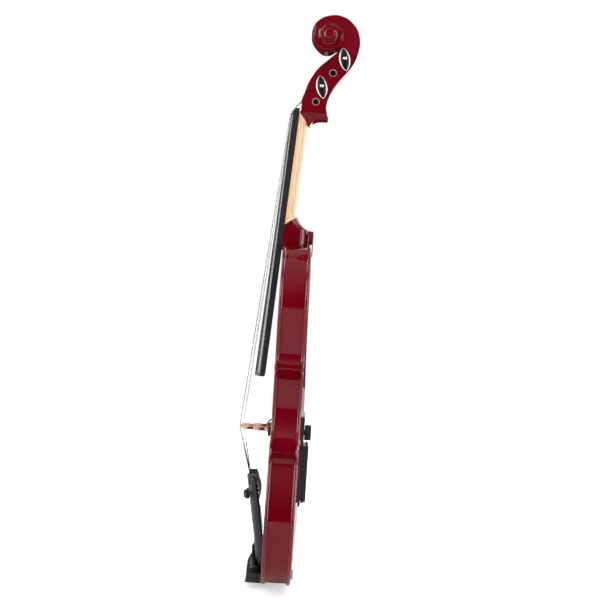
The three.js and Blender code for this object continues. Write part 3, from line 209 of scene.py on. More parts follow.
def values_of(items, key, width=3):
    """One property of a mesh's vertices, edges or faces, as an array with a row for each."""
    values = np.zeros(width * len(items))
    items.foreach_get(key, values)
    return values.reshape(-1, width)


def cleaned(mesh, merge=1e-6):
    """The mesh with its doubled points and faces merged, empty faces dropped and normals pointing out."""
    work = bmesh.new()
    work.from_mesh(mesh)
    bmesh.ops.remove_doubles(work, verts=work.verts, dist=merge)
    bmesh.ops.dissolve_degenerate(work, edges=work.edges, dist=merge)
    bmesh.ops.recalc_face_normals(work, faces=work.faces)
    work.to_mesh(mesh)
    work.free()
    mesh.validate()
    return mesh


def node_body(node):
    """The body that a CAD node rides on."""
    for name, nodes in frame["record"]["behaviour"]["bodies"].items():
        if node in nodes:
            return name
    return "instrument"


def placed(name, data):
    """A new object in the scene."""
    obj = bpy.data.objects.new(name, data)
    bpy.context.scene.collection.objects.link(obj)
    return obj


def piece(name, shape, material, solid=None, slot=None, body=None, sharp=40, bevel=0):
    """A finished piece, standing for a CAD solid, which it hides, or else set beside the solid that slot
    names.

    It rides on the solid's body unless another is given. bevel is a rounding in millimetres put on every edge
    sharper than 30 degrees, and shading breaks at angles past sharp.
    """
    mesh = shape.mesh(name) if isinstance(shape, Shell) else shape
    mesh.name = name
    obj = placed(name, mesh)
    mesh.materials.clear()
    for finish in material if isinstance(material, list) else [material]:
        mesh.materials.append(finish)
    mesh.shade_smooth()
    if bevel:
        edge = obj.modifiers.new("edge", "BEVEL")
        edge.width = bevel * MM
        edge.segments = 3 if bevel > 0.3 else 2
        edge.limit_method = "ANGLE"
        edge.angle_limit = math.radians(30)
        edge.harden_normals = True
        edge.use_clamp_overlap = True
    mesh.set_sharp_from_angle(angle=math.radians(sharp))
    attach(obj, body or node_body(solid or slot))
    if solid:
        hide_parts(solid)


def dressed(name, material, bevel=0.3):
    """A CAD solid's own shape, with the seams in its flat faces dissolved and its edges softened."""
    mesh = frame["nodes"][name].data.copy()
    work = bmesh.new()
    work.from_mesh(mesh)
    bmesh.ops.remove_doubles(work, verts=work.verts, dist=2e-6)
    bmesh.ops.dissolve_limit(work, angle_limit=math.radians(2), verts=work.verts, edges=work.edges)
    work.to_mesh(mesh)
    work.free()
    piece(name + "_finished", mesh, material, name, sharp=40 if bevel else 60, bevel=bevel)


def carved(shape, name, *cutters, folded=False):
    """The shape's mesh less the cutters: an exact Boolean, run at once on objects that are then removed.

    A folded shape is one whose faces may cross each other in its sharp corners.
    """
    made = [placed(name + "_work", part.mesh(name + "_work")) for part in (shape, *cutters)]
    for tool in made[1:]:
        cut = made[0].modifiers.new("cut", "BOOLEAN")
        cut.operation, cut.solver, cut.object, cut.use_self = "DIFFERENCE", "EXACT", tool, folded
    bpy.context.view_layer.update()
    mesh = bpy.data.meshes.new_from_object(made[0].evaluated_get(bpy.context.evaluated_depsgraph_get()))
    for obj in made:
        bpy.data.objects.remove(obj)
    return cleaned(mesh)


def linear(code):
    """An sRGB hex colour as linear RGBA."""
    parts = [int(code[i:i + 2], 16) / 255 for i in (1, 3, 5)]
    return [p / 12.92 if p <= 0.04045 else ((p + 0.055) / 1.055) ** 2.4 for p in parts] + [1.0]


def node(tree, kind, inputs=None, stops=(), **settings):
    """Adds a shader node, or takes one that is there, with its settings, its ramp stops and its inputs.

    An input is a value, an sRGB hex colour or another node's output.
    """
    made = tree.nodes.new("ShaderNode" + kind) if isinstance(kind, str) else kind
    for name, value in settings.items():
        setattr(made, name, value)
    while stops and len(made.color_ramp.elements) < len(stops):
        made.color_ramp.elements.new(0.5)
    for element, (where, colour) in zip(made.color_ramp.elements if stops else (), stops):
        element.position = where
        element.color = linear(colour)
    for key, value in (inputs or {}).items():
        if isinstance(value, bpy.types.NodeSocket):
            tree.links.new(value, made.inputs[key])
        else:
            made.inputs[key].default_value = linear(value) if isinstance(value, str) else value
    return made


# A wave texture's scale for one band to a unit, and the share that roughness varies by
BAND, SPREAD = 3.18, 0.15


def blank_material(name):
    """A new material and its node tree."""
    made = bpy.data.materials.new(name)
    made.use_nodes = True
    return made, made.node_tree


def surface(name, colour, rough, light, dark, size, stretch=(1, 1, 1), pattern="TexNoise", bands=None,
            waver=0.0, depth=0.01, cloud=8, cloudy=0.25, **shader_values):
    """A material of one real finish, all from sizes in millimetres.

    The pattern has features of the given size, drawn out along the axes whose stretch is above 1, or else one
    band to each size along the axis that bands names. It runs the colour from dark to light and raises the
    surface by depth. A slower cloud shades the colour and moves the roughness a little either way.
    """
    made, tree = blank_material(name)
    place = node(tree, "TexCoord").outputs["Object"]
    drawn = node(tree, "VectorMath", {0: place, 1: [1 / s for s in stretch]}, operation="MULTIPLY").outputs[0]
    if bands:
        grain = node(tree, "TexWave", {"Vector": drawn, "Scale": 1 / (size * BAND * MM), "Distortion": waver},
                     wave_type="BANDS", bands_direction=bands).outputs[1]
    else:
        grain = node(tree, pattern, {"Vector": drawn, "Scale": 1 / (size * MM)}).outputs[0]
    slow = node(tree, "TexNoise", {"Vector": place, "Scale": 1 / (cloud * MM), "Detail": 2.0}).outputs[0]
    tone = node(tree, "ValToRGB", {0: grain}, stops=[(0.3, dark), (0.5, colour), (0.7, light)]).outputs[0]
    shade = node(tree, "ValToRGB", {0: slow}, stops=[(0.3, "#c8c8c8"), (0.7, "#ffffff")]).outputs[0]
    mixed = node(tree, "Mix", {0: cloudy, 6: tone, 7: shade}, data_type="RGBA",
                 blend_type="MULTIPLY").outputs[2]
    gloss = node(tree, "MapRange", {0: slow, 3: rough * (1 - SPREAD), 4: rough * (1 + SPREAD)}).outputs[0]
    relief = node(tree, "Bump", {"Height": grain, "Distance": depth * MM, "Strength": 0.6}).outputs[0]
    node(tree, tree.nodes["Principled BSDF"], {
        "Base Color": mixed, "Roughness": gloss, "Normal": relief,
        **{key.replace("_", " "): value for key, value in shader_values.items()}})
    return made


# Polyester lacquer over spruce and maple, sprayed and buffed: a deep burgundy that mirrors its surroundings.
LACQUER = surface("burgundy_polyester_lacquer", "#700012", 0.25, "#7a0418", "#66000d", 60, depth=0.003,
                  cloud=45, cloudy=0.12, IOR=1.5, Specular_IOR_Level=0.0, Coat_Weight=0.6,
                  Coat_Roughness=0.025, Coat_IOR=1.55)
# The same lacquer where it is built up thicker, over the plates and their rounded edges.
PLATE_LACQUER = surface("thick_burgundy_lacquer", "#74000f", 0.25, "#7e0418", "#6a000c", 60, depth=0.003,
                        cloud=45, cloudy=0.12, IOR=1.5, Specular_IOR_Level=0.0, Coat_Weight=0.9,
                        Coat_Roughness=0.03, Coat_IOR=1.58)
# The thin dark line where the stain of the heel and head stops on the bare neck.
STAIN_LINE = surface("dark_stain_edge", "#3a0a0c", 0.35, "#4a1212", "#2a0608", 3, depth=0.004)
# Hard maple, sanded and oiled: warm and pale, with fine pores along the neck and a soft cross flame.
NECK_WOOD = surface("oiled_neck_maple", "#f1c697", 0.42, "#f8dcb9", "#dfa768", 0.9, (1, 1, 30), depth=0.012,
                    cloud=9, cloudy=0.2, Coat_Weight=0.15, Coat_Roughness=0.3)
# Quarter-sawn maple, scraped and left bare: pale peach with the short dark flecks of its rays.
BRIDGE_WOOD = surface("bare_bridge_maple", "#f2c7ab", 0.58, "#fbe6d6", "#9a5a36", 1.5, (6, 1, 1), depth=0.03,
                      cloud=6, cloudy=0.15)
# The same maple inside the bridge's cuts: darker end grain, darkened further as painted shade for the shadow
# that falls inside the cuts.
BRIDGE_END_GRAIN_AND_SHADE = surface("bridge_end_grain_and_painted_shade", "#6b3a20", 0.7, "#8a5230", "#4a2413", 0.8, depth=0.03)
# Ebony, planed and polished: near black, its pores short grey streaks along the grain.
EBONY = surface("polished_ebony", "#252327", 0.3, "#3b383d", "#19171a", 0.45, (1, 1, 26), depth=0.01,
                Coat_Weight=0.3, Coat_Roughness=0.2)
# Ebony, turned and waxed: nearly black, with only a low shine.
PEG_EBONY = surface("waxed_peg_ebony", "#131214", 0.4, "#1d1b1f", "#0c0b0d", 0.45, (26, 1, 1), depth=0.01,
                    Specular_IOR_Level=0.05)
# ABS, injection moulded in a polished tool: black with a clean soft shine.
GLOSS_BLACK = surface("gloss_black_abs", "#0c0c0e", 0.22, "#121215", "#09090b", 1.2, depth=0.003, IOR=1.54)
# ABS, injection moulded in an etched tool: a fine even grit that spreads the highlights.
SATIN_BLACK = surface("satin_black_abs", "#101012", 0.36, "#18181b", "#0c0c0e", 0.4, depth=0.012, IOR=1.54)
# Vulcanised rubber: black and dull.
RUBBER = surface("vulcanised_black_rubber", "#101011", 0.75, "#17171a", "#0b0b0c", 0.5, depth=0.02)
# Nickel plate on brass, buffed: a bright mirror with faint wheel lines.
NICKEL = surface("buffed_nickel_plate", "#cfcdc9", 0.18, "#e2e0dc", "#a9a7a4", 0.3, (1, 1, 14), depth=0.002,
                 Metallic=1.0)
# Black nickel plate on pressed steel: dark, with sharp pale highlights.
BLACK_NICKEL = surface("black_nickel_plate", "#636368", 0.25, "#77777c", "#4b4b50", 0.4, depth=0.002,
                       Metallic=0.9)
# A pale glossy finish for painted highlight: the bright crescents along the edges of a peg's thumb piece.
PEG_RIM_HIGHLIGHT = surface("painted_peg_rim_highlight", "#f2efe9", 0.3, "#faf8f4", "#dcd7cd", 0.8, depth=0.003, Coat_Weight=0.4)
# Steel, turned on a lathe: grey, with fine rings round its axis.
STEEL = surface("turned_steel", "#a6a6a8", 0.3, "#bdbdbf", "#858588", 0.3, (12, 12, 1), depth=0.003,
                Metallic=1.0)
# Flat nickel wire wound round a core: ridges square to the string, drawn at 0.5 mm so that they show.
WIRE = surface("wound_nickel_wire", "#dad9d7", 0.5, "#e6e5e3", "#c9c8c7", 0.5, bands="Z", Metallic=0.15)
# Silk thread wound over a string's end: dark and soft, drawn at 0.6 mm so that it shows.
SILK = surface("wound_silk_thread", "#23252f", 0.6, "#3a3d4b", "#15161d", 0.6, bands="Z", depth=0.05)
# Cork sheet of pressed crumbs: tan with dark joints, dull.
CORK = surface("pressed_cork_sheet", "#a9794c", 0.9, "#c39563", "#6d4526", 0.9, pattern="TexVoronoi",
               depth=0.08)
# Spruce, sawn and planed: pale yellow with a darker winter line about every millimetre.
SPRUCE = surface("planed_spruce", "#dcc093", 0.7, "#e8d0a6", "#b98b52", 1.1, bands="X", waver=1.2,
                 depth=0.02)
# Glass-fibre board under green solder mask: semi-gloss.
BOARD = surface("solder_masked_board", "#1f5a36", 0.35, "#2f7a4a", "#17472a", 2.5, depth=0.02,
                Coat_Weight=0.4)
# Battery can in a printed shrink sleeve left bare: grey, slightly metallic.
CAN = surface("sleeved_battery_can", "#5b6066", 0.4, "#6c7178", "#4b4f55", 3, depth=0.004, Metallic=0.6)
# Soft PVC cable jacket: black with a dull shine.
CABLE = surface("soft_pvc_jacket", "#141415", 0.5, "#1d1d1f", "#0e0e0f", 0.8, depth=0.01)
# Silver, turned and polished: the brightest small parts.
SILVER = surface("polished_silver", "#c9c6c1", 0.3, "#f5f4f0", "#c9c7c3", 0.6, depth=0.001, Metallic=1.0)
# Holly, turned and polished: the pale ring round each peg's small end.
HOLLY = surface("turned_holly_bushing", "#b9908c", 0.4, "#cba5a0", "#a07a76", 0.8, depth=0.006)

# Sizes of the solids, in millimetres, repeated from the part
HALF, INNER = 14.5, 10.5
NUT_FRONT, NUT_BACK = 485.9, 491.5
BOARD_END, BOARD_UNDER, BOARD_THIN, BOARD_THICK = 213.5, 7.05, 8.6, 10.5
OVERHANG, RIB = 2.0, 1.2
HEAD_FRONT, HEAD_DEPTH, HEAD_BOTTOM, HEAD_HEIGHT = 6.7, 58.3, 474.5, 118.0
TAIL_BOTTOM, TAIL_TOP, TAIL_WIDTH, TAIL_DEPTH = 10.5, 109.5, 41.2, 8.9
TAIL_LOW, TAIL_HIGH = 15.6, 28.2
BRIDGE_Z, BRIDGE_BASE, BRIDGE_HEIGHT, BRIDGE_HALF = 159.5, -18.0, 29.8, 20.8
BRIDGE_FOOT, BRIDGE_TOP = 2.2, 0.75
CROWN = 42.0
KNOB_Z, PLATE_FACE = 156.6, 19.0
JACK_Z, NECK_ROOM = 76.5, 16.8
NUT_STEP, BRIDGE_STEP, TAIL_STEP = 5.5, 11.15, 9.6
PEG_TIP, PEG_COLLAR = 2.7, 3.9


# Body


def treble_edges(count):
    """The treble half's outline as three dense lines, one per rib: Bezier stretches between named points."""
    def line(points, shares):
        parts = [bezier(a, b, s, count) for a, b, s in zip(points, points[1:], shares)]
        return np.vstack([parts[0]] + [part[1:] for part in parts[1:]])
    lower = line([(0, 1.5), (104, 76.5), (86.49, 133.56), (93.5, 143.5)],
                 [[(0.6, 0), (1, 0.41)], [(0, 0.4), (0.63, 0.77)], [(-0.21, 0.4), (0.21, 0.85)]])
    waist = line([(91.46, 149.99), (56, 186.5), (76.14, 222.88)],
                 [[(0.49, -0.08), (1, 0.26)], [(0, 0.6), (0.3, 0.99)]])
    upper = line([(79, 229), (72.24, 243.28), (84, 289.5), (11.76, 352.5)],
                 [[(0.85, 0.17), (1.15, 0.52)], [(0.17, 0.3), (1, 0.54)], [(0, 0.54), (0.444, 1)]])
    return lower, waist, upper


def inset(line, distance, closed=False):
    """The line moved to its left, square to the direction between each point's two neighbours."""
    before, after = np.roll(line, 1, 0), np.roll(line, -1, 0)
    if not closed:
        before[0], after[-1] = line[0], line[-1]
    along = unit(after - before)
    return line + np.stack([-along[:, 1], along[:, 0]], 1) * distance


# The two mitres between the ribs: a place on each, and its slope
LOWER_CORNER = (V(92.48, 146.75), 0.21)
UPPER_CORNER = (V(77.57, 225.94), -0.42)


def clipped(line, corner, keep_below):
    """The points of a line on one side of a corner's slanted line. Those of the bass half all stay."""
    middle, angle = corner
    height = (line[:, 1] - middle[1]) - (line[:, 0] - middle[0]) * math.tan(angle)
    inside = height < -0.03 if keep_below else height > 0.03
    return line[inside | (line[:, 0] < 0)]


def rib(edge, trim):
    """A bent rib: a strip of four-cornered sections along the outline, inset under the plates' overhang.

    Its line is drawn out a little at both ends before it is trimmed, so that two ribs meet at their mitre.
    """
    def reach(distance):
        moved = inset(edge, distance)
        first, last = unit(moved[0] - moved[1]), unit(moved[-1] - moved[-2])
        return resampled(trim(resampled(np.vstack([moved[0] + first, moved, moved[-1] + last]), 1600)), 260)
    outer, inside = reach(OVERHANG), reach(OVERHANG + RIB)
    return prism(np.stack([laid(line, y) for line, y in (
        (outer, -INNER), (outer, INNER), (inside, INNER), (inside, -INNER))], 1))


def flipped(line):
    """The line mirrored in the middle of the instrument, and run the other way."""
    return (line * V(-1, 1))[::-1]


def drawn_in(outline, distance):
    """A closed outline inset, its points that cross at a corner spread between their neighbours."""
    moved = inset(outline, distance, True)
    dense = resampled(outline, 1200, closed=True)
    near = np.min(np.linalg.norm(moved[:, None] - dense[None], axis=2), axis=1)
    at, good = np.arange(len(moved)), near > distance - 0.04
    return np.stack([np.interp(at, at[good], moved[good, k], period=len(moved)) for k in (0, 1)], 1)


# The radius of the plates' edges, and the back's arch: its blur, start, length and half width by z
EDGE = 1.9
ARCH_BLUR, ARCH_LOW, ARCH_LONG = 9, 10.5, 333
ARCH = [(0, 46), (20, 74), (45, 92), (76, 98), (110, 88), (150, 62), (186, 50), (215, 55), (250, 70),
        (290, 79), (325, 62), (352, 20)]


def plate(front, back, arch):
    """A plate with rounded edges: rings of the outline inset through a quarter-round on each side.

    From the last ring a field, whose z always rises, shrinks in x to the centre line. On the outer side it
    rises by arch times (1 - |x / w|^2.4)^1.5 (1 - |2v - 1|^6), with w(z) the table's half width blurred by a
    Gaussian and v the share of the way up, and it stays flat on the inner one.
    """
    half = np.vstack(treble_edges(26))
    outline = np.vstack([half, flipped(half)[:-1]])
    outer, inner = (front, back) if front < 0 else (back, front)
    inward = np.sign(inner - outer)
    field = drawn_in(outline, EDGE)[:len(half)]
    least = 0.02 * np.arange(len(half))
    field[:, 1] = np.maximum.accumulate(field[:, 1] - least) + least
    field = np.vstack([field, flipped(field)[:-1]])
    v = np.clip((field[:, 1] - ARCH_LOW) / ARCH_LONG, 0, 1)
    at = np.arange(-60, 420)
    blur = np.exp(-0.5 * (np.arange(-40, 41) / ARCH_BLUR) ** 2)
    wide = np.interp(field[:, 1], at, np.convolve(table(ARCH, at), blur / blur.sum(), "same"))
    high = arch * mix(3.6, 1.2, step(0.45, 0.8, v)) * (1 - np.abs(2 * v - 1) ** 6)
    rows = [laid(field * V(s, 1), outer - inward * high
                 * (1 - np.minimum(np.abs(field[:, 0] * s) / wide, 1) ** 2.4) ** 1.5)
            for s in np.linspace(0, 1, 22 if arch else 5)[:-1]]
    turns = np.linspace(0, math.pi / 2, 7)
    for face, way, order in ((outer, inward, turns), (inner, -inward, turns[::-1])):
        rows += [laid(drawn_in(outline, EDGE * (1 - math.sin(turn))),
                      face + way * EDGE * (1 - math.cos(turn))) for turn in order]
    rows += [laid(field * V(s, 1), inner) for s in (0.66, 0.33, 0)]
    return Shell().grid(np.array(rows), wrap_columns=True)


def build_body():
    """The ribs, trimmed at their mitres, the two plates with their cuts, and the neck's button."""
    lower, waist, upper = treble_edges(60)

    def trim_lower(line):
        return flipped(clipped(flipped(clipped(line, LOWER_CORNER, True)), LOWER_CORNER, True))

    def trim_waist(line):
        return clipped(clipped(line, UPPER_CORNER, True), LOWER_CORNER, False)

    def trim_upper(line):
        line = clipped(line, UPPER_CORNER, False)
        return line[line[:, 0] > NECK_ROOM]
    bent = carved(rib(np.vstack([flipped(lower)[:-1], lower]), trim_lower), "lower",
                  rod(3.9, 20, (0, 0, -3), (0, 0, 1)), rod(6, 12, (-108, 0, JACK_Z), (1, 0, 0)))
    piece("lower_rib_bent", bent, LACQUER, "lower_rib", sharp=50)
    for base, line, trim in (("waist_rib", waist, trim_waist), ("upper_rib", upper, trim_upper)):
        for word, side in (("treble", 1), ("bass", -1)):
            shape = rib(line, trim)
            shape.points = [p * V(side, 1, 1) for p in shape.points]
            piece(f"{base}_{word}_bent", shape, LACQUER, f"{base}_{word}", sharp=50)

    # The top's edge is cut for the neck and the saddle, and its face for the pickup lead
    top = carved(plate(-HALF, -INNER, 0), "top", box((-16.7, -20, 345.2), (16.7, -5, 358)),
                 box((-17.8, -20, -3), (17.8, -5, 8.8)), rod(1.2, 12, (18.15, -20, 169.85), (0, 1, 0), 20),
                 folded=True)
    piece("top_plate_carved", top, PLATE_LACQUER, "top_plate", sharp=30)
    # A window for the electronics, with a flat seat for the control plate round it
    seat = prism([[(-x, y, low), (x, y, low), (x, y, high), (-x, y, high)] for x, y, low, high in (
        (27, 5, 88.5, 171.5), (27, HALF, 88.5, 171.5), (31.3, HALF, 84.2, 175.8), (31.3, 40, 84.2, 175.8))])
    back = carved(plate(INNER, HALF, 1), "back", seat, folded=True)
    piece("back_plate_carved", back, PLATE_LACQUER, "back_plate", sharp=30)
    half, foot = 11.0, 340
    arc = np.linspace(0, math.pi, 33)
    tongue = np.vstack([[(half, foot)], np.c_[half * np.cos(arc), 354 + 12.3 * np.sin(arc)], [(-half, foot)]])
    rows = [laid(np.c_[tongue[:, 0] * s, foot + (tongue[:, 1] - foot) * (1 - (1 - s) * 0.5)], y)
            for y, s in ((10.3, 0.97), (10.8, 1), (15.1, 1), (15.6, 0.975), (15.78, 0.94))]
    piece("neck_button", prism(rows), LACQUER, slot="back_plate", sharp=60)


# Neck, fingerboard and nut


def board_under(z):
    """How far in front of the middle plane the fingerboard's under side lies."""
    return BOARD_UNDER + (NUT_FRONT - z) * 0.0675


def board_half(z):
    """The fingerboard's half width."""
    return mix(12.0, 21.0, (NUT_FRONT - z) / (NUT_FRONT - BOARD_END))


def crown_drop(x):
    """How far the round crown of the board and bridge has fallen at x."""
    return CROWN - np.sqrt(CROWN ** 2 - x ** 2)


HEEL_START, HEEL_RISE, HEEL_BACK = 366.5, 20.0, 10.2
HEEL_END = HEEL_START + HEEL_RISE
HEEL_SWEEP = [(0, 1), (0.05, 0.86), (0.11, 0.73), (0.2, 0.6), (0.28, 0.5), (0.4, 0.37), (0.53, 0.26),
              (0.75, 0.1), (0.88, 0.03), (1, 0)]
# Borders across the neck, each a straight line between two (y, z) places
NECK_FOOT = ((0, 345.5), (1, 345.5))
HEEL_BORDER = ((-board_under(HEEL_START), 369.9), (-board_under(HEEL_START) + 13.8, 379.9))
HEAD_BORDER = ((-6.7, 487.24), (4.26, 474.5))
# How far behind the fingerboard the neck's front stops
GLUE = 0.3


def neck_back(z):
    """Depth of the neck's back: the heel's sweep below its end, a slow swell towards the nut above."""
    shaft = -board_under(z) + GLUE + mix(9.2, 9.9, np.clip((z - HEEL_END) / 110, 0, 1))
    return mix(shaft, HEEL_BACK, table(HEEL_SWEEP, (z - HEEL_START) / HEEL_RISE))


def border(ends, off=0.0):
    """A border's height as a function of y, moved up by off."""
    (y1, z1), (y2, z2) = ends
    return lambda y: z1 + (y - y1) * (z2 - z1) / (y2 - y1) + off


def neck_part(low, high, count=90):
    """The neck between two borders.

    Round the section by angle a: x = half |cos a|^(2/p), y runs from the flat front to the back by
    |sin a|^(2/p). Each line along the neck runs from low(y) to high(y), so the ends follow the borders.
    """
    arc = np.linspace(0, math.pi, 41)[None, :]
    share = np.linspace(0, 1, count)[:, None]
    y = np.zeros((count, 41))
    for _ in range(6):
        z = mix(low(y), high(y), share)
        bend = 2 / mix(2.3, 3.4, step(HEEL_END, 362, z))
        front = -board_under(z) + GLUE
        y = front + (neck_back(z) - front) * np.abs(np.sin(arc)) ** bend
    return prism(np.stack([board_half(z) * signed_power(np.cos(arc), bend), y, z], -1))


def build_neck():
    """The neck's stained and bare lengths with the dark lines between them, the fingerboard and the nut."""
    piece("neck_heel_stained", neck_part(border(NECK_FOOT), border(HEEL_BORDER, -0.45)), LACQUER, "neck_heel",
          sharp=50)
    piece("heel_stain_edge", neck_part(border(HEEL_BORDER, -0.42), border(HEEL_BORDER, 0.25), 4), STAIN_LINE,
          slot="neck_heel")
    piece("neck_shaft_oiled", neck_part(border(HEEL_BORDER, 0.3), border(HEAD_BORDER, -0.5)), NECK_WOOD,
          "neck_shaft", sharp=50)
    piece("head_stain_edge", neck_part(border(HEAD_BORDER, -0.45), border(HEAD_BORDER, 0.1), 4), STAIN_LINE,
          slot="scroll_and_pegbox")

    # Sections of the board: flat beneath, straight sides, and a crown whose edges are eased
    z = np.r_[BOARD_END, BOARD_END + 0.5, np.linspace(BOARD_END + 6, 480, 30), 485.2, 485.6]
    tight = np.where((z == z[0]) | (z == z[-1]), 0.35, 0.0)
    side, under = board_half(z) - tight, board_under(z)
    height = mix(BOARD_THIN, BOARD_THICK, (NUT_FRONT - z) / (NUT_FRONT - BOARD_END)) - tight
    across = np.linspace(side, -side, 33, axis=1)
    ease = 0.5 * (np.abs(across) / side[:, None]) ** 24
    crown = (-under - height)[:, None] + crown_drop(np.abs(across)) + ease
    x = np.c_[side, side, across, -side, -side]
    y = np.c_[-under, -under - 0.6, crown, -under - 0.6, -under]
    planed = prism(np.stack([x, y, z[:, None] + 0 * x], -1))
    piece("fingerboard_planed", planed, EBONY, "fingerboard", sharp=35)
    dressed("nut", EBONY, 0.5)


# Head


def head_place(shares):
    """Shares of the head's depth and height as (y, z) places."""
    return V(-HEAD_FRONT, HEAD_BOTTOM) + np.asarray(shares, float) * V(HEAD_DEPTH, HEAD_HEIGHT)


HEAD_SHARES = [
    (0, 0.108), (0.025, 0.147), (0.02, 0.218), (0.068, 0.289), (0.112, 0.361), (0.183, 0.433), (0.282, 0.507),
    (0.436, 0.582), (0.518, 0.619), (0.596, 0.657), (0.686, 0.716), (0.582, 0.685), (0.469, 0.653),
    (0.331, 0.656), (0.183, 0.719), (0.122, 0.784), (0.131, 0.852), (0.209, 0.922), (0.358, 0.968),
    (0.54, 0.985), (0.69, 0.97), (0.8, 0.94), (0.924, 0.876), (0.978, 0.811), (1, 0.737), (0.975, 0.669),
    (0.932, 0.598), (0.856, 0.525), (0.74, 0.452), (0.628, 0.378), (0.542, 0.304), (0.486, 0.233),
    (0.462, 0.162), (0.489, 0.092), (0.503, 0.063), (0.353, 0.058), (0.251, 0.036), (0.188, 0)]
CAVITY_SHARES = [
    (-0.2, 0.174), (0.26, 0.169), (0.37, 0.212), (0.43, 0.284), (0.511, 0.356), (0.625, 0.432),
    (0.735, 0.508), (0.808, 0.572), (0.803, 0.606), (0.718, 0.619), (-0.2, 0.619)]
EYE = head_place((0.44, 0.803))
PEGS = {"g": ((0.272, 0.209), -1, 0.35), "d": ((0.543, 0.471), -1, -0.2), "a": ((0.723, 0.553), 1, 0.2),
        "e": ((0.355, 0.303), 1, 0.22)}

CHEEK_TOP, CHEEK_FOOT, CHEEK_SLOPE = 487.5, 470, 0.2


def head_half(z):
    """Half the head's width, which narrows up to two thirds of its height."""
    return mix(12.4, 9.2, np.clip((np.asarray(z, float) - HEAD_BOTTOM) / (HEAD_HEIGHT * 0.66), 0, 1))


def volute(side):
    """One ear of the scroll: a spiral shelf round the eye.

    Over the angle a the shelf's edge is at radius R(a) and height h(a) out of the side. Each line runs from
    the side up over the edge, then inwards over a dished shelf to the foot of the next turn's wall, at R one
    turn later.
    """
    turns = [(0, 20.5), (90, 19.4), (180, 17.4), (270, 16.0), (360, 14.6), (450, 12.4), (540, 10.2),
             (630, 8.3), (720, 6.6), (810, 5.1)]
    rises = [(0, 9.3), (180, 10.2), (270, 11.0), (360, 12.2), (540, 15.9), (720, 19.2), (810, 20.3)]
    a = np.linspace(150, 810, 260)
    radius, rise = table(turns, a), table(rises, a)
    nexts = table(turns, np.minimum(a + 360, 810)) - 0.1
    base = 8.6
    rows = [(radius, np.full_like(a, base)), (radius, rise - 0.7), (radius - 0.25, rise - 0.2),
            (radius - 0.8, rise)]
    for share in (0.12, 0.3, 0.5, 0.7, 0.88, 1.0):
        dip = 1.1 * math.sin(math.pi * share) * np.clip((radius - nexts) / 8, 0, 1)
        rows.append((mix(radius - 1.1, nexts, share), rise - dip))
    rows.append((nexts, np.full_like(a, base)))
    turn = np.radians(a)
    grid = np.stack([np.stack([side * h, EYE[0] + r * np.cos(turn), EYE[1] + r * np.sin(turn)], -1)
                     for r, h in rows], 1)
    eye = [(0, base), (5.15, base), (5.15, 19.6), (4.9, 20.1), (4.2, 20.4), (2.6, 20.46), (1.2, 20.2),
           (0, 20.1)]
    return prism(grid).turned(eye, (0, *EYE), (side, 0, 0), 64)


def build_head():
    """The pegbox and scroll as one slab between two sides, hollowed, its cheeks sloping in at the foot."""
    outline = np.vstack([smooth_line(head_place(HEAD_SHARES[:11]), 70),
                         smooth_line(head_place(HEAD_SHARES[10:34]), 190)[1:],
                         smooth_line(head_place(HEAD_SHARES[33:]), 30)[1:]])
    outline = EYE + (outline - EYE) * (1 - 0.019 * step(545, 562, outline[:, 1:]))
    room = head_place(CAVITY_SHARES)
    room = np.vstack([room[:1], smooth_line(room[1:-1], 60), room[-1:]])
    blank, cavity = (prism([np.c_[half * side, line] for side in (-1, 1)]) for half, line in (
        (head_half(outline[:, 1]), outline), (head_half(room[:, 1]) - 4.2, room)))
    edge = float(head_half(CHEEK_TOP))
    low = edge - (CHEEK_TOP - CHEEK_FOOT) * CHEEK_SLOPE
    section = ((edge, CHEEK_TOP), (20, CHEEK_TOP), (20, CHEEK_FOOT), (low, CHEEK_FOOT))
    cheeks = [prism([[(side * x, y, z) for x, z in section] for y in (-40, 60)]) for side in (1, -1)]
    mesh = carved(blank, "head", cavity, *cheeks)
    piece("pegbox_and_scroll", mesh, LACQUER, "scroll_and_pegbox", sharp=35, bevel=0.6)
    # The cheeks' upper edges are kept sharp as well
    points, ends = values_of(mesh.vertices, "co") / MM, values_of(mesh.edges, "vertices", 2).astype(int)
    ridge = (np.abs(points[:, 2] - CHEEK_TOP) < 0.02) & (np.abs(np.abs(points[:, 0]) - edge) < 0.05)
    marks = values_of(mesh.edges, "use_edge_sharp", 1)[:, 0] > 0
    mesh.edges.foreach_set("use_edge_sharp", marks | ridge[ends].all(1))
    for side, word in ((1, "treble"), (-1, "bass")):
        piece("scroll_ear_" + word, volute(side), LACQUER, slot="scroll_and_pegbox", sharp=45)
    for name, (shares, side, _) in PEGS.items():
        y, z = head_place(shares)
        bushing = [(3.05, 0), (3.9, 0), (3.9, 0.3), (3.7, 0.4), (3.3, 0.4), (3.05, 0.2)]
        place = (-side * (head_half(z) - 0.2), y, z)
        piece("peg_bushing_" + name, Shell().turned(bushing, place, (-side, 0, 0)), HOLLY,
              slot="scroll_and_pegbox")


# Section of the pale rim round a thumb piece that paints its edge highlight: how far out, and its half width
# and half height there
HIGHLIGHT_RIM = [(2.4, 4.2, 11.4), (2.4, 5.6, 11.85), (3.1, 5.4, 11.75), (3.9, 4.6, 11.5), (3.9, 4.1, 11.4)]


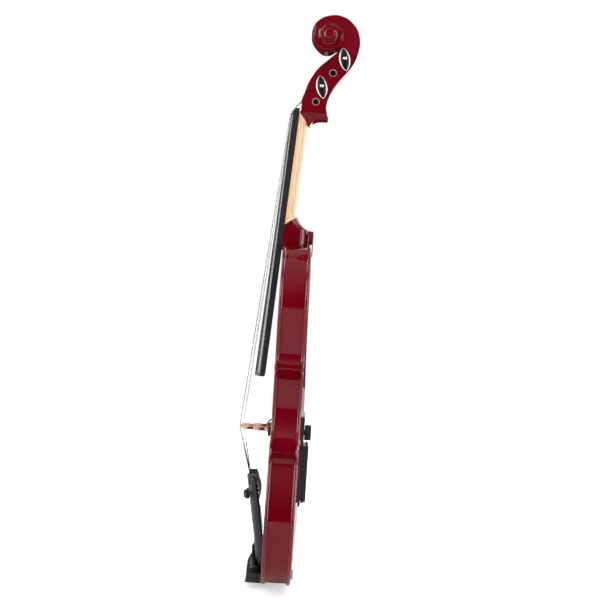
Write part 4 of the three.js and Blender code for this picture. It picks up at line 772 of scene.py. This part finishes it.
def build_pegs():
    """Each peg: a tapered shaft with its collar, a lens-shaped thumb piece, a pale rim that is a painted
    highlight, a ball and a ring.
    """
    for name, (shares, side, lean) in PEGS.items():
        y, z = head_place(shares)
        half = float(head_half(z))
        reach, length = half + 1, 2 * half + 6
        centre = length + 6.5 + 9
        shape = Shell().turned(
            [(0, 0), (2.3, 0), (PEG_TIP, 0.4), (PEG_COLLAR, length), (4.5, length), (4.9, length + 0.7),
             (4.7, length + 1.2), (4.2, length + 1.6), (3.5, length + 2.3), (3.1, length + 4),
             (3.3, centre - 5), (0, centre)], (-side * reach, y, z), (side, 0, 0))
        u = np.linspace(0, math.pi, 33)[:, None]
        v = np.linspace(0, 2 * math.pi, 48, endpoint=False)[None, :]
        lens = np.stack([9 * np.cos(u) + 0 * v,
                         4.7 * np.abs(np.sin(u)) ** 1.15 * signed_power(np.cos(v), 1.5),
                         11.6 * np.abs(np.sin(u)) ** 0.85 * np.sin(v)], -1)
        cos, sin = math.cos(lean), math.sin(lean)
        turn = V((1, 0, 0), (0, cos, -sin), (0, sin, cos))
        middle = V(side * (centre - reach), y, z)
        shape.grid(lens @ turn.T + middle, wrap_columns=True)
        piece(f"peg_{name}_turned", shape, PEG_EBONY, "peg_" + name, sharp=45)
        way = np.linspace(0, 2 * math.pi, 96, endpoint=False)
        # The pale rim along the thumb piece's edges is painted highlight
        rim = [np.stack([np.full_like(way, side * depth), wide * signed_power(np.cos(way), 1.5),
                         tall * np.sin(way)], 1) @ turn.T + middle
               for depth, wide, tall in HIGHLIGHT_RIM]
        highlight_rim = Shell().grid(np.array(rim), wrap_rows=True, wrap_columns=True)
        piece(f"peg_{name}_rim_highlight", highlight_rim, PEG_RIM_HIGHLIGHT, slot="peg_" + name, sharp=50)
        arc = np.linspace(0, math.pi, 15)
        ball = Shell().turned(np.c_[1.9 * np.sin(arc), -1.9 * np.cos(arc)], middle + V(side * 8.55, 0, 0),
                              (side, 0, 0), 32)
        piece(f"peg_{name}_ball", ball, SILVER, slot="peg_" + name)
        ring = Shell().turned([(3.6, 0), (4.2, 0.1), (4.2, 0.55), (3.6, 0.65)],
                              (side * (length - reach + 2.4), y, z), (side, 0, 0), 40)
        piece(f"peg_{name}_ring", ring, SILVER, slot="peg_" + name)


# Tailpiece, fine tuners, strings and bridge

# Shares of the tailpiece's height, back, arch and width, from its lower to its upper end
TAIL = [(0, 0, 0.584, 0.51), (0.175, 0.048, 0.809, 0.534), (0.35, 0.119, 0.966, 0.592),
        (0.544, 0.373, 1, 0.738), (0.738, 0.643, 1, 0.893), (0.893, 0.857, 1, 0.99), (1, 1, 1, 1)]
TUNER_TILT = 0.168
TUNER_AXIS = unit(V(0, 1, TUNER_TILT))
TUNER_Y, TUNER_Z = -24.0, 91.7
NAMES = ("g", "d", "a", "e")
SHARE = dict(zip(NAMES, (-1.5, -0.5, 0.5, 1.5)))
RADIUS = {"g": 0.42, "d": 0.4, "a": 0.35, "e": 0.2}
PEG_SHAFT = mix(PEG_TIP, PEG_COLLAR, 0.55)


def tail(z):
    """The tailpiece at height z: how far forward its flat back lies, its arch's height and its half width."""
    back, arch, wide = (table(TAIL, (z - TAIL_BOTTOM) / (TAIL_TOP - TAIL_BOTTOM), k) for k in (1, 2, 3))
    return mix(TAIL_LOW, TAIL_HIGH, back), TAIL_DEPTH * arch, TAIL_WIDTH / 2 * wide


def arches(z, room=0.0, open_by=None):
    """Sections of the tailpiece: a half ellipse over its flat back, room millimetres inside the outer one.

    Where open_by is given, the section's foot is drawn out by that much, so that it cuts through the back.
    """
    arc = np.linspace(0, math.pi, 49)[None, :]
    z = np.asarray(z, float)[:, None]
    back, high, half = tail(z)
    rows = np.stack([(half - room) * np.cos(arc), -back - (high - room) * np.sin(arc), z + 0 * arc], -1)
    if open_by is None:
        return rows
    low, high = rows[:, :1] + V(0, open_by, 0), rows[:, -1:] + V(0, open_by, 0)
    return np.concatenate([low, rows, high], 1)


def head_face(name):
    """Foot of a tuner's screw, and its head's inner face along the tilted axis, clear of the tailpiece."""
    foot = V(SHARE[name] * TAIL_STEP, TUNER_Y, TUNER_Z)
    back, high, half = tail(TUNER_Z)
    crown = -back - high * math.sqrt(1 - ((abs(foot[0]) - 1.65) / half) ** 2)
    return foot, foot - TUNER_AXIS * ((foot[1] - crown) * math.hypot(1, TUNER_TILT) + 1.2)


def build_tailpiece():
    """The tailpiece as a slotted shell with a pivot block, four tuners, its gut, saddle and end button."""
    z = np.r_[TAIL_BOTTOM, TAIL_BOTTOM + 0.3, np.linspace(TAIL_BOTTOM + 1.2, TAIL_TOP - 1.2, 70),
              TAIL_TOP - 0.3, TAIL_TOP]
    outer = arches(z)
    for row, room in ((0, 0.5), (1, 0.15), (-2, 0.15), (-1, 0.5)):
        outer[row] = arches(z[[row]], room)[0]
    hollow = prism(arches(np.linspace(18.5, 104.4, 50), 2.2, 5))
    places = [SHARE[name] * TAIL_STEP for name in NAMES]
    slots = [box((x - 1.8, -120, 101), (x + 1.8, 0, 115)) for x in places]
    holes = [rod(1.4, 30, head_face(name)[0], -TUNER_AXIS, 20) for name in NAMES]
    block = carved(box((-18.4, -30.4, 104.4), (18.4, -25.9, 109.4)), "pivot_block", *slots)
    piece("tailpiece_shell", carved(prism(outer), "tail", hollow, *slots, *holes), SATIN_BLACK, "tailpiece",
          sharp=35)
    piece("tailpiece_pivot_block", block, SATIN_BLACK, slot="tailpiece", bevel=0.2)
    dressed("tuner_pivot_rod", STEEL, 0.2)
    profile = [(0, 0), (2.3, 0), (2.75, -0.25), (3.3, -0.75), (3.3, -3.5), (2.9, -3.95), (2.3, -4.2),
               (1.7, -4.05), (0, -4)]
    for name in NAMES:
        foot, face = head_face(name)
        dressed("tuner_lever_" + name, BLACK_NICKEL, 0.35)
        head = Shell().turned(profile, face, TUNER_AXIS, 96, 24, 0.055)
        piece(f"tuner_head_{name}_knurled", head, GLOSS_BLACK, "tuner_head_" + name, sharp=50)
        reach = float(np.linalg.norm(face - foot)) + 2.1
        along = np.linspace(0, reach, int(reach / 0.175))
        thread = 1.1 - 0.14 * (np.arange(len(along)) % 2)
        shank = Shell().turned([(0, 0), *zip(thread, along), (0, reach)], foot, -TUNER_AXIS, 24)
        piece(f"tuner_shank_{name}_threaded", shank, STEEL, "tuner_shank_" + name, sharp=20)
    dressed("tailgut", RUBBER, 0)
    dressed("saddle", EBONY, 0.5)
    button = [(0, 0), (1.2, 0), (1.6, 0), (5.2, 0), (6.4, 0.2), (7, 0.6), (7, 1.2), (6.7, 1.5), (3.6, 1.5),
              (3.6, 5), (3.24, 22.5), (0, 22.5)]
    piece("end_button_turned", Shell().turned(button, (0, 0, 0), (0, 0, 1), 64), EBONY, "end_button")


def peg_touch(start, centre, radius):
    """Where a line from a (y, z) place first touches a circle's front side."""
    reach = centre - start
    turn = math.atan2(reach[0], reach[1]) - math.asin(radius / np.linalg.norm(reach))
    return start + V(math.sin(turn), math.cos(turn)) * math.sqrt(reach @ reach - radius ** 2)


def string_route(name):
    """The string's corners, as in the part: lever hook, bridge, nut and peg, string a first past peg d."""
    radius, share = RADIUS[name], SHARE[name]
    lift = radius + 0.14
    nut_x, bridge_x, tail_x = share * NUT_STEP, share * BRIDGE_STEP, share * TAIL_STEP
    nut_y = -BOARD_UNDER - BOARD_THIN - 0.55 + crown_drop(nut_x) - lift
    bridge_y = BRIDGE_BASE - BRIDGE_HEIGHT + crown_drop(bridge_x) - lift
    tail_y = -28.5 - 5.7
    around = PEG_SHAFT + radius + 0.3
    start = V(nut_y + 3.2, NUT_BACK)
    passed = [peg_touch(start, head_place(PEGS["d"][0]), around + 0.3)] if name == "a" else []
    last = peg_touch(passed[0] if passed else start, head_place(PEGS[name][0]), around)
    in_box = [V(mix(nut_x, nut_x * 0.35, (p[1] - NUT_BACK) / (last[1] - NUT_BACK)), *p)
              for p in [*passed, last]]
    return [V(tail_x, tail_y, 107.9), V(tail_x, tail_y - radius, 111.2),
            V(tail_x, tail_y - 2 * radius, 114),
            V(bridge_x, bridge_y, BRIDGE_Z - BRIDGE_TOP), V(bridge_x, bridge_y, BRIDGE_Z + BRIDGE_TOP),
            V(nut_x, nut_y, NUT_FRONT), V(nut_x, *start), *in_box]


def build_strings():
    """Each string: its wire, the silk over its lower end and the turns wound round its peg."""
    for name, silk_end in zip(NAMES, (0.62, 0.55, 0.5, 0.4)):
        route, radius = string_route(name), RADIUS[name]
        finish = NICKEL if name == "e" else WIRE
        piece(f"string_{name}_wire", Shell().tube(route, radius, 12), finish, "string_" + name, sharp=50)
        share = np.linspace(0, 1, 40)
        wrap = mix(route[2], route[3], np.linspace(0.02, silk_end, 40)[:, None])
        swell = 0.13 * np.minimum(1, 6 * np.minimum(share, share[::-1]) + 0.1)
        piece(f"string_{name}_silk", Shell().tube(wrap, radius + swell, 12), SILK, slot="string_" + name)
        shares, side, _ = PEGS[name]
        centre, start = head_place(shares), route[-1]
        around = PEG_SHAFT + radius * 0.9 + 0.15
        phase = math.atan2(start[2] - centre[1], start[1] - centre[0])
        turns = np.linspace(0, 4.2 * 2 * math.pi, 150)
        x = start[0] + side * turns / (2 * math.pi) * (2 * radius + 0.06)
        coil = np.stack([x, centre[0] + around * np.cos(phase - turns),
                         centre[1] + around * np.sin(phase - turns)], 1)
        piece(f"string_{name}_winding", Shell().tube(coil, radius, 8), NICKEL if name == "e" else SILK,
              slot="string_" + name, body=node_body("peg_" + name))


BRIDGE_SHARES = [
    (0.55, 0), (1, 0), (1, 0.07), (0.79, 0.14), (0.8, 0.23), (0.95, 0.29), (0.98, 0.43), (0.93, 0.5),
    (0.74, 0.53), (0.7, 0.6), (0.91, 0.72), (0.91, 0.855)]
BRIDGE_ARCH = [(0, 0.28), (0.2, 0.26), (0.4, 0.19), (0.52, 0.09)]
HEART = [(0, 0.48), (0.16, 0.58), (0.2, 0.65), (0.12, 0.69), (0, 0.65)]


def build_bridge():
    """The bridge's outline, smoothed, between two faces that lean together from foot to crown."""
    def place(points):
        points = np.asarray(points, float)
        return np.c_[points[:, 0] * BRIDGE_HALF, BRIDGE_BASE - points[:, 1] * BRIDGE_HEIGHT]

    def smoothed(points, count):
        return resampled(smooth_line(place(points), count), count)

    def between(line, thick):
        share = np.clip((BRIDGE_BASE - line[:, 1]) / BRIDGE_HEIGHT, 0, 1)
        half = thick * mix(BRIDGE_FOOT, BRIDGE_TOP, share)
        return prism([np.c_[line, BRIDGE_Z + way * half] for way in (-1, 1)])

    crown_x = np.linspace(18.9, 0, 18)
    side = np.vstack([smoothed(BRIDGE_ARCH, 20), place(BRIDGE_SHARES[:2]), smoothed(BRIDGE_SHARES[2:], 50),
                      np.c_[crown_x, BRIDGE_BASE - BRIDGE_HEIGHT + crown_drop(crown_x)]])
    hole = smoothed(HEART, 24)
    mesh = carved(between(np.vstack([side, flipped(side)[1:-1]]), 1), "bridge",
                  between(np.vstack([hole, flipped(hole)[1:-1]]), 2))
    middle, normal = values_of(mesh.polygons, "center") / MM, values_of(mesh.polygons, "normal")
    high = (BRIDGE_BASE - middle[:, 1]) / BRIDGE_HEIGHT
    # Faces inside the cuts take the dark end grain, which also paints the shade that falls there
    shade_faces = (np.abs(normal[:, 2]) < 0.5) & (np.abs(middle[:, 0]) < 17.8) & (high > 0.1) & (high < 0.8)
    piece("bridge_cut", mesh, [BRIDGE_WOOD, BRIDGE_END_GRAIN_AND_SHADE], "bridge", bevel=0.22)
    mesh.polygons.foreach_set("material_index", shade_faces.astype(np.int32))
    dressed("pickup_bar", SATIN_BLACK, 0.6)
    dressed("pickup_lead", CABLE, 0)


# Chin rest and its clamp

# Shares along the cup, with the heights of its lower and upper edge there
REST = [
    (0, 0.586, 0.758), (0.04, 0.463, 0.9), (0.12, 0.34, 0.962), (0.25, 0.217, 1.008), (0.38, 0.131, 1.008),
    (0.5, 0.082, 0.962), (0.6, 0.057, 0.746), (0.68, 0.042, 0.5), (0.78, 0.029, 0.362), (0.88, 0.026, 0.3),
    (0.94, 0.032, 0.269), (1, 0.069, 0.215)]

REST_TALL, REST_START, REST_LONG = 65, -100, 128


def build_chin_rest():
    """A moulded cup: over shares u along it and v from its low to its high edge, front and back surfaces.

    front = max(lip(u) + ridge (1 - v)^3, under + 3), and under clears the tailpiece's arch where it passes.
    Near the rim both surfaces draw together through a quarter-round.
    """
    u = np.linspace(0, 1, 150)[:, None]
    v = np.linspace(0, 1, 44)[None, :]
    z = mix(table(REST, u, 1) * REST_TALL, table(REST, u, 2) * REST_TALL, v)
    over = 1 - step(0.1, 0.14, np.abs(u - 0.78))
    own = mix(4.6, 8.0, v ** 1.5 * (1 - step(0.55, 0.7, u)))
    back, high, _ = tail(z)
    under = mix(own, np.maximum(own, back + high - HALF + 0.9), over)
    lip = mix(8.0, 16.2, step(0.62, 0.82, u))
    rim = lip + (17.4 - lip) * (1 - v) ** 3 * (0.55 + 0.45 * np.minimum(1, u / 0.6))
    front = np.maximum(rim + 3 * np.maximum(0, 1 - u / 0.12) ** 2, under + 3)
    edge = np.minimum(np.minimum(v, 1 - v) * 40, np.minimum(u, 1 - u) * 100) / 1.6
    draw = 1.1 * (1 - np.sqrt(1 - (1 - np.clip(edge, 0, 1)) ** 2))
    x = REST_START + REST_LONG * u + 0 * v
    face = np.stack([x, -HALF - front + draw, z], -1)
    back = np.stack([x, -HALF - under - draw * 0.5, z], -1)
    shape = Shell().grid(face).grid(back)
    for end in (0, -1):
        shape.grid(np.stack([face[end], back[end]])).grid(np.stack([face[:, end], back[:, end]]))
    piece("chin_rest_moulded", shape.mesh("rest", 2e-5), GLOSS_BLACK, "chin_rest", sharp=50)
    for word, x1, x2, z1, z2 in (("bass", -72, -58, 22.75, 32.5), ("treble", 18.4, 25.4, 3.25, 13)):
        piece("chin_rest_leg_" + word, box((x1, -20.6, z1), (x2, -15.6, z2)), GLOSS_BLACK, slot="chin_rest",
              bevel=0.6)
        piece("chin_rest_cork_" + word, box((x1 + 0.3, -15.7, z1 + 0.3), (x2 - 0.3, -14.52, z2 - 0.3)), CORK,
              slot="chin_rest", bevel=0.2)
    for name in ("chin_rest_bracket", "chin_rest_foot"):
        dressed(name, NICKEL, 0.4)
    pad = box((-41, HALF + 0.02, 4.3), (-19, HALF + 0.98, 12))
    piece("clamp_foot_cork", pad, CORK, slot="chin_rest_foot", bevel=0.15)
    for name in ("treble", "bass"):
        dressed("clamp_barrel_" + name, NICKEL, 0.25)


# Electronics, and the pieces hidden inside


def build_electronics():
    """The control plate with its screws, knob and door, the jack, the hidden electronics and the blocks."""
    dressed("control_plate", SATIN_BLACK, 0.45)
    for x in (-27.5, 27.5):
        for z in (88.5, 171.5):
            screw = Shell().turned([(0, -0.3), (2.3, -0.3), (2.4, 0), (2.2, 0.35), (1.4, 0.6), (0, 0.68)],
                                   (x, PLATE_FACE, z), (0, 1, 0), 36)
            cross = [box((x - a, PLATE_FACE + 0.25, z - b), (x + a, 25, z + b))
                     for a, b in ((1.5, 0.22), (0.22, 1.5))]
            word = ("bass" if x < 0 else "treble") + ("_low" if z < 100 else "_high")
            piece("plate_screw_" + word, carved(screw, "screw", *cross), STEEL, slot="control_plate")
    profile = [(0, -13.6), (3, -13.6), (3, -19.7), (7.7, -19.7), (8, -20), (8, -25.6), (7.7, -26.2),
               (7, -26.6), (5.8, -26.6), (5.4, -26.3), (0, -26.2)]
    knob = Shell().turned(profile, (0, 0, KNOB_Z), (0, -1, 0), 240, 40, 0.045)
    piece("volume_knob_ridged", knob, SATIN_BLACK, "volume_knob", sharp=35)
    mark = box((-0.35, 26.15, KNOB_Z + 2.2), (0.35, 26.5, KNOB_Z + 5.2))
    piece("volume_knob_pointer", mark, SILVER, slot="volume_knob", bevel=0.08)
    dressed("battery_door", SATIN_BLACK, 0.4)
    for i in range(5):
        z = 133.5 + i * 2
        piece(f"door_grip_{i + 1}", box((-9, 24.3, z), (9, 24.69, z + 0.8)), SATIN_BLACK, slot="battery_door",
              bevel=0.15)
    dressed("output_jack", NICKEL)
    dressed("jack_nut", NICKEL, 0.4)
    dressed("jack_lead", CABLE, 0)
    dressed("preamp_board", BOARD, 0.15)
    dressed("battery", CAN, 0.6)
    for name in ["bass_bar", "neck_block", "end_block"] + [
            f"corner_block_{a}_{b}" for a in ("lower", "upper") for b in ("treble", "bass")]:
        dressed(name, SPRUCE)


build_body()
build_neck()
build_head()
build_pegs()
build_tailpiece()
build_strings()
build_bridge()
build_chin_rest()
build_electronics()


# Floor, backdrop, light and camera


def white_paper():
    """Matt white paper. To the camera it glows a little too, so that it stays white far from the lamps."""
    made, tree = blank_material("matt_white_paper")
    grain = node(tree, "TexNoise", {"Scale": 1 / (2 * MM)}).outputs[0]
    relief = node(tree, "Bump", {"Height": grain, "Distance": 0.01 * MM}).outputs[0]
    seen = node(tree, "LightPath").outputs["Is Camera Ray"]
    glow = node(tree, "Math", {0: seen, 1: 0.55}, operation="MULTIPLY").outputs[0]
    node(tree, tree.nodes["Principled BSDF"], {
        "Base Color": "#f6f6f6", "Roughness": 0.9, "Normal": relief, "Emission Color": "#ffffff",
        "Emission Strength": glow})
    return made


def stage_mesh(name, points, faces, material):
    """A floor or tent mesh, in metres, that isn't part of the object."""
    mesh = bpy.data.meshes.new(name)
    mesh.from_pydata(points, [], faces)
    mesh.materials.append(material)
    obj = placed(name, mesh)
    return obj


# The tent's radius in metres, and its glow by elevation in degrees
REACH = 2.6
GLOW = [(-4, 0.02), (14, 0.03), (28, 0.12), (45, 0.34), (62, 0.6), (90, 0.75)]


def reflection_tent():
    """A tent that only glossy surfaces see, like a studio's flags and silks: dark at eye level, pale above.

    The point at azimuth a and elevation e is REACH away. Its glow is read from the table by e, plus four tall
    bright panels, one on either side of the string side's and the back's directions.
    """
    e = np.radians(np.linspace(-4, 90, 60))[:, None]
    a = np.linspace(0, 2 * math.pi, 144, endpoint=False)[None, :]
    points = REACH * np.stack([np.cos(e) * np.cos(a), np.cos(e) * np.sin(a), np.sin(e) + 0 * a], -1)
    made, tree = blank_material("studio_flags_and_silks")
    glow = node(tree, "Attribute", attribute_name="glow").outputs["Fac"]
    light = node(tree, "Emission", {"Color": "#ffffff", "Strength": glow}).outputs[0]
    node(tree, tree.nodes["Material Output"], {"Surface": light})
    faces = quads(*points.shape[:2], wrap_columns=True)
    tent = stage_mesh("reflection_tent", points.reshape(-1, 3).tolist(), faces, made)
    level = np.degrees(np.arcsin(np.clip(points[..., 2].ravel() / REACH, -1, 1)))
    silk = np.abs(np.degrees(a) % 180 - 90) + 0 * e
    panels = 6.5 * step(15, 20, silk) * step(42, 38, silk) * step(52, 44, np.degrees(e))
    values = table(GLOW, level) + panels.ravel()
    tent.data.attributes.new("glow", "FLOAT", "POINT").data.foreach_set("value", values.astype(np.float32))
    tent.visible_camera = tent.visible_diffuse = tent.visible_transmission = tent.visible_shadow = False


def lamp(name, place, aim, size, power):
    """A rectangular softbox at a place, turned to its aim, all in metres."""
    light = bpy.data.lights.new(name, "AREA")
    light.shape = "RECTANGLE"
    light.size, light.size_y = size
    light.energy = power
    obj = placed(name, light)
    obj.location = place
    obj.rotation_euler = (Vector(aim) - Vector(place)).to_track_quat("-Z", "Y").to_euler()


floor_z = float(cad_box[0][2]) - 0.0005
stage_mesh("floor", [(-6, -6, floor_z), (6, -6, floor_z), (6, 6, floor_z), (-6, 6, floor_z)], [(0, 1, 2, 3)],
           white_paper())
reflection_tent()

world = bpy.data.worlds.new("studio")
bpy.context.scene.world = world
world.use_nodes = True
tree = world.node_tree
rays = node(tree, "LightPath")
plain = node(tree, "Math", {0: rays.outputs["Is Camera Ray"], 1: rays.outputs["Is Glossy Ray"]},
             operation="MAXIMUM").outputs[0]
clear = node(tree, "Math", {0: plain, 1: rays.outputs["Is Transmission Ray"]}, operation="MAXIMUM").outputs[0]
strength = node(tree, "MapRange", {0: clear, 3: 0.55, 4: 1.0}).outputs[0]
node(tree, tree.nodes["Background"], {"Color": "#ffffff", "Strength": strength})

lamp("key_softbox", (1.3, -1.3, 1.2), (0, 0, 0.3), (0.9, 1.4), 17)
lamp("fill_softbox", (1.4, 1.4, 0.7), (0, 0, 0.3), (0.8, 1.4), 10)
lamp("back_softbox", (-1.4, 0.5, 1.0), (0, 0, 0.3), (1.2, 1.2), 10)

TILT = math.radians(3.73)
camera = placed("camera", bpy.data.cameras.new("camera"))
camera.data.sensor_width = 36
camera.data.lens = 66.24
right = Vector((0, math.cos(TILT), math.sin(TILT)))
up = Vector((0, -math.sin(TILT), math.cos(TILT)))
back = Vector((1, 0, 0))
turned_to = Matrix((right, up, back)).transposed().to_4x4()
camera.matrix_world = Matrix.Translation((1.15, 0.0061, 0.294)) @ turned_to
bpy.context.scene.camera = camera
bpy.context.scene.view_settings.view_transform = "Standard"

bpy.context.view_layer.update()
